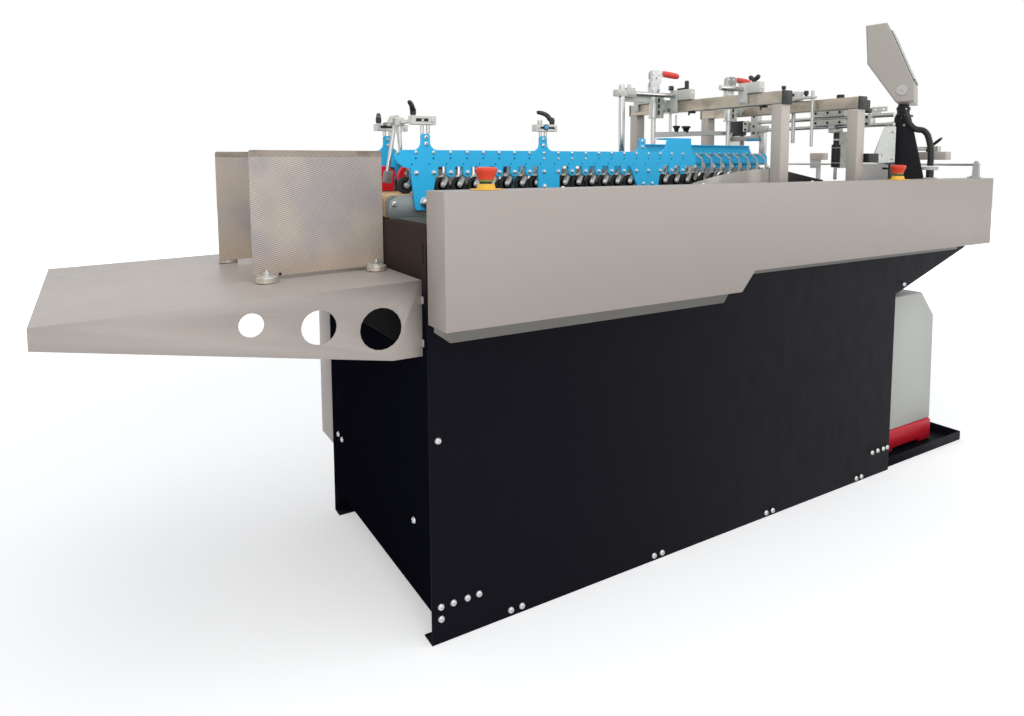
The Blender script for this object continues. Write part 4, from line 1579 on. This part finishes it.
def build_plough():
    line = smooth_line(
        [(0.8, 0.126, 0), (0.95, 0.118, 0), (1.06, 0.12, 0), (1.16, 0.126, 0), (1.345, 0.136, 0)], 5)
    crest = [(0.805, 0.902), (0.857, 0.915), (0.931, 0.928), (1.001, 0.935), (1.061, 0.938), (1.094, 0.937),
        (1.166, 0.931), (1.339, 0.903)]
    flat = [(p.x, p.y) for p in line]
    form = Form("plough_skin").add("plough", ribbon(flat, 0.002, DECK_TOP + CLEAR, crest))
    rows = [(0.835, 0.85), (0.96, 0.87), (1.21, 0.87), (1.3, 0.85)]
    for px, pz in rows:
        py = float(np.interp(px, [p[0] for p in flat], [p[1] for p in flat]))
        form.add("bolt zinc", screw_at((px, py - 0.0009, pz), NEAR, 0.0042, 0.0026))
    form.done("plough_sheet", "stainless")


def build_apron():
    form = Form("apron_set")
    form.add("apron paint", block((1.45, 1.88), (0.104, 0.564), (0.8722, 0.882), 0.0014),
        *[block((x, x + 0.02), (y, y + 0.02), (DECK_TOP + CLEAR, 0.8724), 0.0012) for x in (1.59, 1.84)
        for y in (0.12, 0.53)])
    form.add("bolt zinc", *[lathe([(0.0048, -0.0002), (0.005, 0.0002), (0.0026, 0.0004), (0, 0.0002)],
        (x, y, 0.882), sides=18) for x in (1.48, 1.6, 1.85) for y in (0.13, 0.54)])
    outline = [(1.43, 0.876), (1.65, 0.876), (1.659, 0.9), (1.662, 0.925), (1.66, 0.936), (1.654, 0.9395),
        (1.645, 0.9415), (1.605, 0.9465), (1.517, 0.9512), (1.432, 0.9512), (1.43, 0.9492)]
    slot = [(1.596, 0.935), (1.6, 0.9325), (1.637, 0.9325), (1.641, 0.935), (1.637, 0.9375), (1.6, 0.9395)]
    form.add("white sheet", slab(outline, "Y", 0.1045, 0.1085, [slot], 0.0007))
    form.add("black steel", block((1.593, 1.643), (0.1084, 0.1094), (0.93, 0.94), 0.0003))
    form.add("bolt zinc", screw_at((1.62, 0.1047, 0.9), NEAR, 0.004, 0.0026),
        screw_at((1.448, 0.1047, 0.9), NEAR, 0.004, 0.0026))
    for y0, y1 in ((-0.02, 0.2), (0.428, 0.486)):
        form.add("post paint", block((1.735, 1.765), (y0, y1), (0.9635, 0.989), 0.002, 3))
    for y in (0.183, 0.457):
        form.add("plug", block((1.74, 1.76), (y - 0.003, y + 0.003), (0.876, 0.97)),
            block((1.735, 1.765), (y - 0.01, y + 0.01), (0.8818, 0.885)),
            block((1.737, 1.741), (y - 0.016, y + 0.028), (0.934, 0.964), 0.0008))
        form.add("bolt zinc", screw_at((1.7402, y, 0.94), BACK, 0.0022, 0.002))
    form.add("rod steel", *[bar((1.755, 0.01, z), (1.755, 0.12, z), 0.003, 14) for z in (0.996, 1.003)])
    form.add("alloy", block((1.745, 1.765), (0.09, 0.108), (0.988, 1.008), 0.0012),
        block((1.745, 1.765), (0.012, 0.024), (0.988, 1.007), 0.0012))
    form.add("black plastic", hose(smooth_line([(1.755, 0.048, 1.004), (1.755, 0.038, 1.009),
        (1.755, 0.02, 1.022), (1.755, 0.006, 1.033)], 4), [0.0062, 0.006, 0.0056, 0.0052, 0.005, 0.0048,
        0.0048, 0.0048, 0.0048, 0.0046, 0.0044, 0.0036, 0.002], 14), lathe([(0.007, 0), (0.0074, 0.001),
        (0.0074, 0.01), (0.006, 0.0112), (0, 0.0112)], (1.755, 0.048, 0.989), sides=22))
    form.done("outfeed_apron", "white_sheet")


def build_cross_rod():
    x = 1.864
    form = Form("end_cross_rod").add("rod steel", bar((x, -0.052, 0.948), (x, 0.72, 0.948), 0.004))
    for y, inward in ((-0.048, 1), (0.716, -1)):
        face = [(y - 0.011, 0.9063), (y + 0.011, 0.9063), (y + 0.0092, 0.942), (y + 0.0078, 0.952),
            (y + 0.0046, 0.9585), (y, 0.9608), (y - 0.0046, 0.9585), (y - 0.0078, 0.952), (y - 0.0092, 0.942)]
        form.add("plug", slab(face, "X", x - 0.005, x + 0.005, (), 0.001),
            block((1.852, 1.876), sorted((y - inward * 0.012, y + inward * 0.022)), (0.9056, 0.9094), 0.001))
        form.add("bolt zinc", screw_at((x, y + inward * 0.016, 0.9093), UP, 0.0034, 0.0034),
            lathe([(0.0036, -0.0005), (0.0058, 0), (0.0058, 0.0012), (0.0036, 0.0014)],
            (x, y - inward * 0.01, 0.948), (0, -inward, 0), 20))
    form.done("outfeed_cross_rod", "zinc")


class MACHINE_OT_outfeed(bpy.types.Operator):
    """Cross shafts, press unit, plough sheet, apron and end bars"""
    bl_idname = "machine.outfeed"
    bl_label = "Outfeed fittings"

    def execute(self, context):
        build_cross_shafts()
        build_press()
        build_plough()
        build_apron()
        build_cross_rod()
        return {"FINISHED"}


# Operator screen with its conduit, and the emergency stops
SCREEN_AT = Vector((1.645, 0.072, 0))
SCREEN_TURN = 27.5


def facing_screen(bit):
    """Puts a bit drawn across the housing (X along it, Y through its side faces) onto the swivel."""
    turn = Matrix.Translation(SCREEN_AT) @ Matrix.Rotation(math.radians(SCREEN_TURN - 90.0), 4, "Z")
    bmesh.ops.transform(bit, matrix=turn, verts=bit.verts)
    return bit


def build_screen():
    outline = [(-0.0155, 1.138), (0.0338, 1.138), (0.035, 1.1392), (0.033, 1.1895), (0.0326, 1.193),
        (0.03, 1.201), (-0.038, 1.357), (-0.0468, 1.3764), (-0.048, 1.3776), (-0.0495, 1.3779),
        (-0.1058, 1.3741), (-0.107, 1.373), (-0.1069, 1.372), (-0.099, 1.257), (-0.017, 1.1395)]
    form = Form("screen_housing_shell")
    form.add("screen paint", facing_screen(slab(outline, "Y", -0.1, 0.1, (), 0.003)))
    for side in (-1, 1):
        disc = lathe([(0, 0), (0.0148, 0), (0.0156, 0.0008), (0.0156, 0.0026), (0.0146, 0.0036),
            (0.006, 0.004), (0, 0.004)], (0, side * 0.099, 1.1728), (0, side, 0), 40)
        form.add("plug", facing_screen(disc))
        mark = slab([(-0.0052, 1.1722), (0.0052, 1.1722), (0.0052, 1.1734), (-0.0052, 1.1734)], "Y",
            *sorted((side * 0.102, side * 0.1032)))
        form.add("seam", facing_screen(turned_about(mark, (0, 0, 1.1728), "Y", 60.0)))
    start, end = Vector((0.03, 0, 1.201)), Vector((-0.038, 0, 1.357))
    along = (end - start).normalized()
    out = Vector((along.z, 0, -along.x))

    def on_slope(u0, u1, v0, v1, w0, w1):
        corners = [start + along * u + out * w for u, w in ((u0, w0), (u1, w0), (u1, w1), (u0, w1))]
        return facing_screen(slab([(c.x, c.z) for c in corners], "Y", v0, v1, (), 0.0009))

    length = (end - start).length
    face = Form("screen_face")
    face.add("seam", on_slope(0.001, length - 0.002, -0.0935, 0.0935, -0.001, 0.0012))
    face.add("bezel", *[on_slope(*span, 0.001, 0.0056)
        for span in ((0.003, 0.014, -0.092, 0.092), (length - 0.03, length - 0.004, -0.092, 0.092),
        (0.0139, length - 0.0299, -0.092, -0.08), (0.0139, length - 0.0299, 0.08, 0.092))])
    face.add("screen glass", on_slope(0.012, length - 0.028, -0.082, 0.082, 0.0012, 0.0048))
    face.add("black plastic", on_slope(-0.0005, 0.0034, -0.091, 0.091, -0.001, 0.0048))
    for k in range(5):
        v = -0.064 + 0.032 * k
        centre = start + along * (length - 0.017) + out * 0.0038
        knob = lathe([(0.0052, 0), (0.0056, 0.0006), (0.005, 0.0019), (0, 0.002)], (centre.x, v, centre.z),
            out, 20)
        face.add("cap blue" if k == 4 else "black plastic", facing_screen(knob))
    face.done("screen_panel", "bezel", "screen")
    form.add("black steel", lathe([(0, 0), (0.017, 0), (0.017, 0.004), (0.0155, 0.005), (0.0155, 0.012),
        (0.017, 0.013), (0.017, 0.0165), (0, 0.0165)], (SCREEN_AT.x, SCREEN_AT.y, 1.1284), sides=36))
    form.done("screen_housing", "beige_paint", "screen")


def build_screen_post():
    face = [(0.0005, 0.8203), (0.1, 0.8203), (0.1035, 1.06), (0.1035, 1.096), (0.096, 1.104), (0.056, 1.104),
        (0.0485, 1.095), (0.0005, 0.912)]
    form = Form("screen_post_plate").add("post black", slab(face, "X", 1.648, 1.652, (), 0.0006),
        slab([(1.61, 0.95), (1.651, 0.95), (1.651, 1.085), (1.64, 1.085), (1.61, 1.05)], "Y", 0.0997,
        0.1035, (), 0.0005), block((1.618, 1.668), (0.052, 0.092), (1.098, 1.104), 0.0008), lathe([(0, 0),
        (0.02, 0), (0.02, 0.006), (0.0186, 0.008), (0.0186, 0.019), (0.02, 0.021), (0.02, 0.027), (0, 0.027)],
        (SCREEN_AT.x, SCREEN_AT.y, 1.101), sides=40), slab([(1.655, 0.078), (1.688, 0.078), (1.69, 0.08),
        (1.69, 0.095), (1.688, 0.097), (1.655, 0.097)], "Z", 1.1095, 1.1135, (), 0.0006))
    form.add("bolt zinc",
        *[screw_at((1.6482, y, z), BACK, 0.0042) for y, z in ((0.079, 1.098), (0.0678, 1.0728))])
    form.add("post black", *[screw_at((1.6482, y, z), BACK, 0.0046, 0.0034)
        for y, z in ((0.02, 0.85), (0.08, 0.85), (0.085, 0.93), (0.042, 0.96))])
    form.add("bolt zinc", *[screw_at((SCREEN_AT.x + 0.0196 * math.cos(a), SCREEN_AT.y + 0.0196 * math.sin(a),
        1.122), (math.cos(a), math.sin(a), 0), 0.0026, 0.002) for a in (-2.2, -0.8, 0.8, 2.4)])
    form.done("screen_post", "black_paint")

    route = smooth_line([(1.634, 0.068, 1.123), (1.633, 0.0637, 1.1157), (1.634, 0.0533, 1.0904),
        (1.637, 0.0385, 1.0682), (1.645, 0.025, 1.057), (1.657, 0.013, 1.0545), (1.664, 0.001, 1.0398),
        (1.662, -0.011, 1.0027), (1.656, -0.017, 0.97), (1.654, -0.0175, 0.955)], 3)
    route = [*route, Vector(route[-1]) - Vector((0, 0, 0.0104))]
    lengths = [0]
    for one, two in zip(route, route[1:]):
        lengths.append(lengths[-1] + (Vector(two) - Vector(one)).length)
    steps = settings().conduit_ribs * 4
    points, radii = [], []
    for k in range(steps + 1):
        at = lengths[-1] * k / steps
        points.append(tuple(float(np.interp(at, lengths, [p[axis] for p in route])) for axis in range(3)))
        radii.append((0.0098, 0.0096, 0.0086, 0.0086)[k % 4])
    form = Form("ribbed_conduit").add("conduit black", hose(points, radii, 20))
    form.done("screen_conduit", "black_plastic")
    form = Form("conduit_gland_ring")
    spot = (1.654, -0.0175, 0.9056)
    form.add("black plastic",
        lathe([(0.01, 0), (0.011, 0.0008), (0.011, 0.031), (0.01, 0.0314)], spot, sides=32))
    ring = [(0.0112, 0.0264), (0.0222, 0.0266), (0.023, 0.0274), (0.023, 0.0362), (0.0222, 0.037),
        (0.0112, 0.0372), (0.0112, 0.0264)]
    form.add("plug", lathe(ring, spot, sides=36))
    form.add("post paint",
        lathe([(0.02, 0), (0.02, 0.003), (0.019, 0.0036), (0.0112, 0.0036)], spot, sides=32))
    form.done("conduit_gland", "black_plastic")


def build_stops():
    for name, x in (("infeed", 0.106), ("outfeed", 1.446)):
        spot = (x, -0.042, 0.9056)
        form = Form(name + "_stop_label_ring")
        form.add("stop yellow", lathe([(0.0128, 0), (0.0309, 0), (0.0313, 0.0004),
            (0.0313, 0.0014), (0.0309, 0.0018), (0.0128, 0.0018), (0.0128, 0)], spot, sides=64),
            lathe([(0.0128, 0.0014), (0.0178, 0.0014), (0.0178, 0.0044), (0.0172, 0.0062), (0.0164, 0.01),
            (0.016, 0.0112), (0.015, 0.0115), (0.0128, 0.0115), (0.0128, 0.0014)], spot, sides=48))
        form.done(name + "_stop_base", "stop_yellow")
        form = Form(name + "_stop_head")
        form.add("stop red",
            lathe([(0.015, 0), (0.0156, 0.003), (0.0166, 0.0066), (0.0185, 0.0112), (0.0204, 0.0146),
            (0.0212, 0.0166), (0.0214, 0.0184), (0.0212, 0.0202), (0.0205, 0.0216), (0.0193, 0.0226),
            (0.0165, 0.0234), (0.011, 0.024), (0, 0.0243)], (spot[0], spot[1], spot[2] + 0.019), sides=56))
        form.add("stop green", lathe([(0.0125, 0), (0.0141, 0), (0.0141, 0.0036), (0.0125, 0.0036)],
            (spot[0], spot[1], spot[2] + 0.0156), sides=48))
        form.add("black plastic", lathe([(0, 0), (0.0113, 0), (0.0113, 0.012), (0, 0.012)],
            (spot[0], spot[1], spot[2] + 0.0076), sides=40))
        form.done(name + "_stop_button", "stop_red", name + "_stop")


class MACHINE_OT_controls(bpy.types.Operator):
    """Operator screen with its post and conduit, and the stop buttons"""
    bl_idname = "machine.controls"
    bl_label = "Screen and stops"

    def execute(self, context):
        build_screen()
        build_screen_post()
        build_stops()
        return {"FINISHED"}


# Panel and registration
OPERATORS = (MACHINE_OT_stage, MACHINE_OT_paint, MACHINE_OT_rails, MACHINE_OT_sheets, MACHINE_OT_feed,
    MACHINE_OT_tooling, MACHINE_OT_outfeed, MACHINE_OT_controls)


class MACHINE_PT_parts(bpy.types.Panel):
    """Lists the machine's groups of parts"""
    bl_idname = "MACHINE_PT_parts"
    bl_label = "Box folding machine"
    bl_space_type = "VIEW_3D"
    bl_region_type = "UI"
    bl_category = "Machine"

    def draw(self, context):
        look = context.scene.folder_gluer
        for name in MachineSettings.__annotations__:
            self.layout.prop(look, name)
        for operator in OPERATORS:
            self.layout.operator(operator.bl_idname)


def register():
    for kind in (MachineSettings, *OPERATORS, MACHINE_PT_parts):
        bpy.utils.register_class(kind)
    bpy.types.Scene.folder_gluer = PointerProperty(type=MachineSettings)


def unregister():
    del bpy.types.Scene.folder_gluer
    for kind in reversed((MachineSettings, *OPERATORS, MACHINE_PT_parts)):
        bpy.utils.unregister_class(kind)


def main():
    register()
    for operator in OPERATORS:
        group, name = operator.bl_idname.split(".")
        getattr(getattr(bpy.ops, group), name)()


if __name__ == "__main__":
    main()
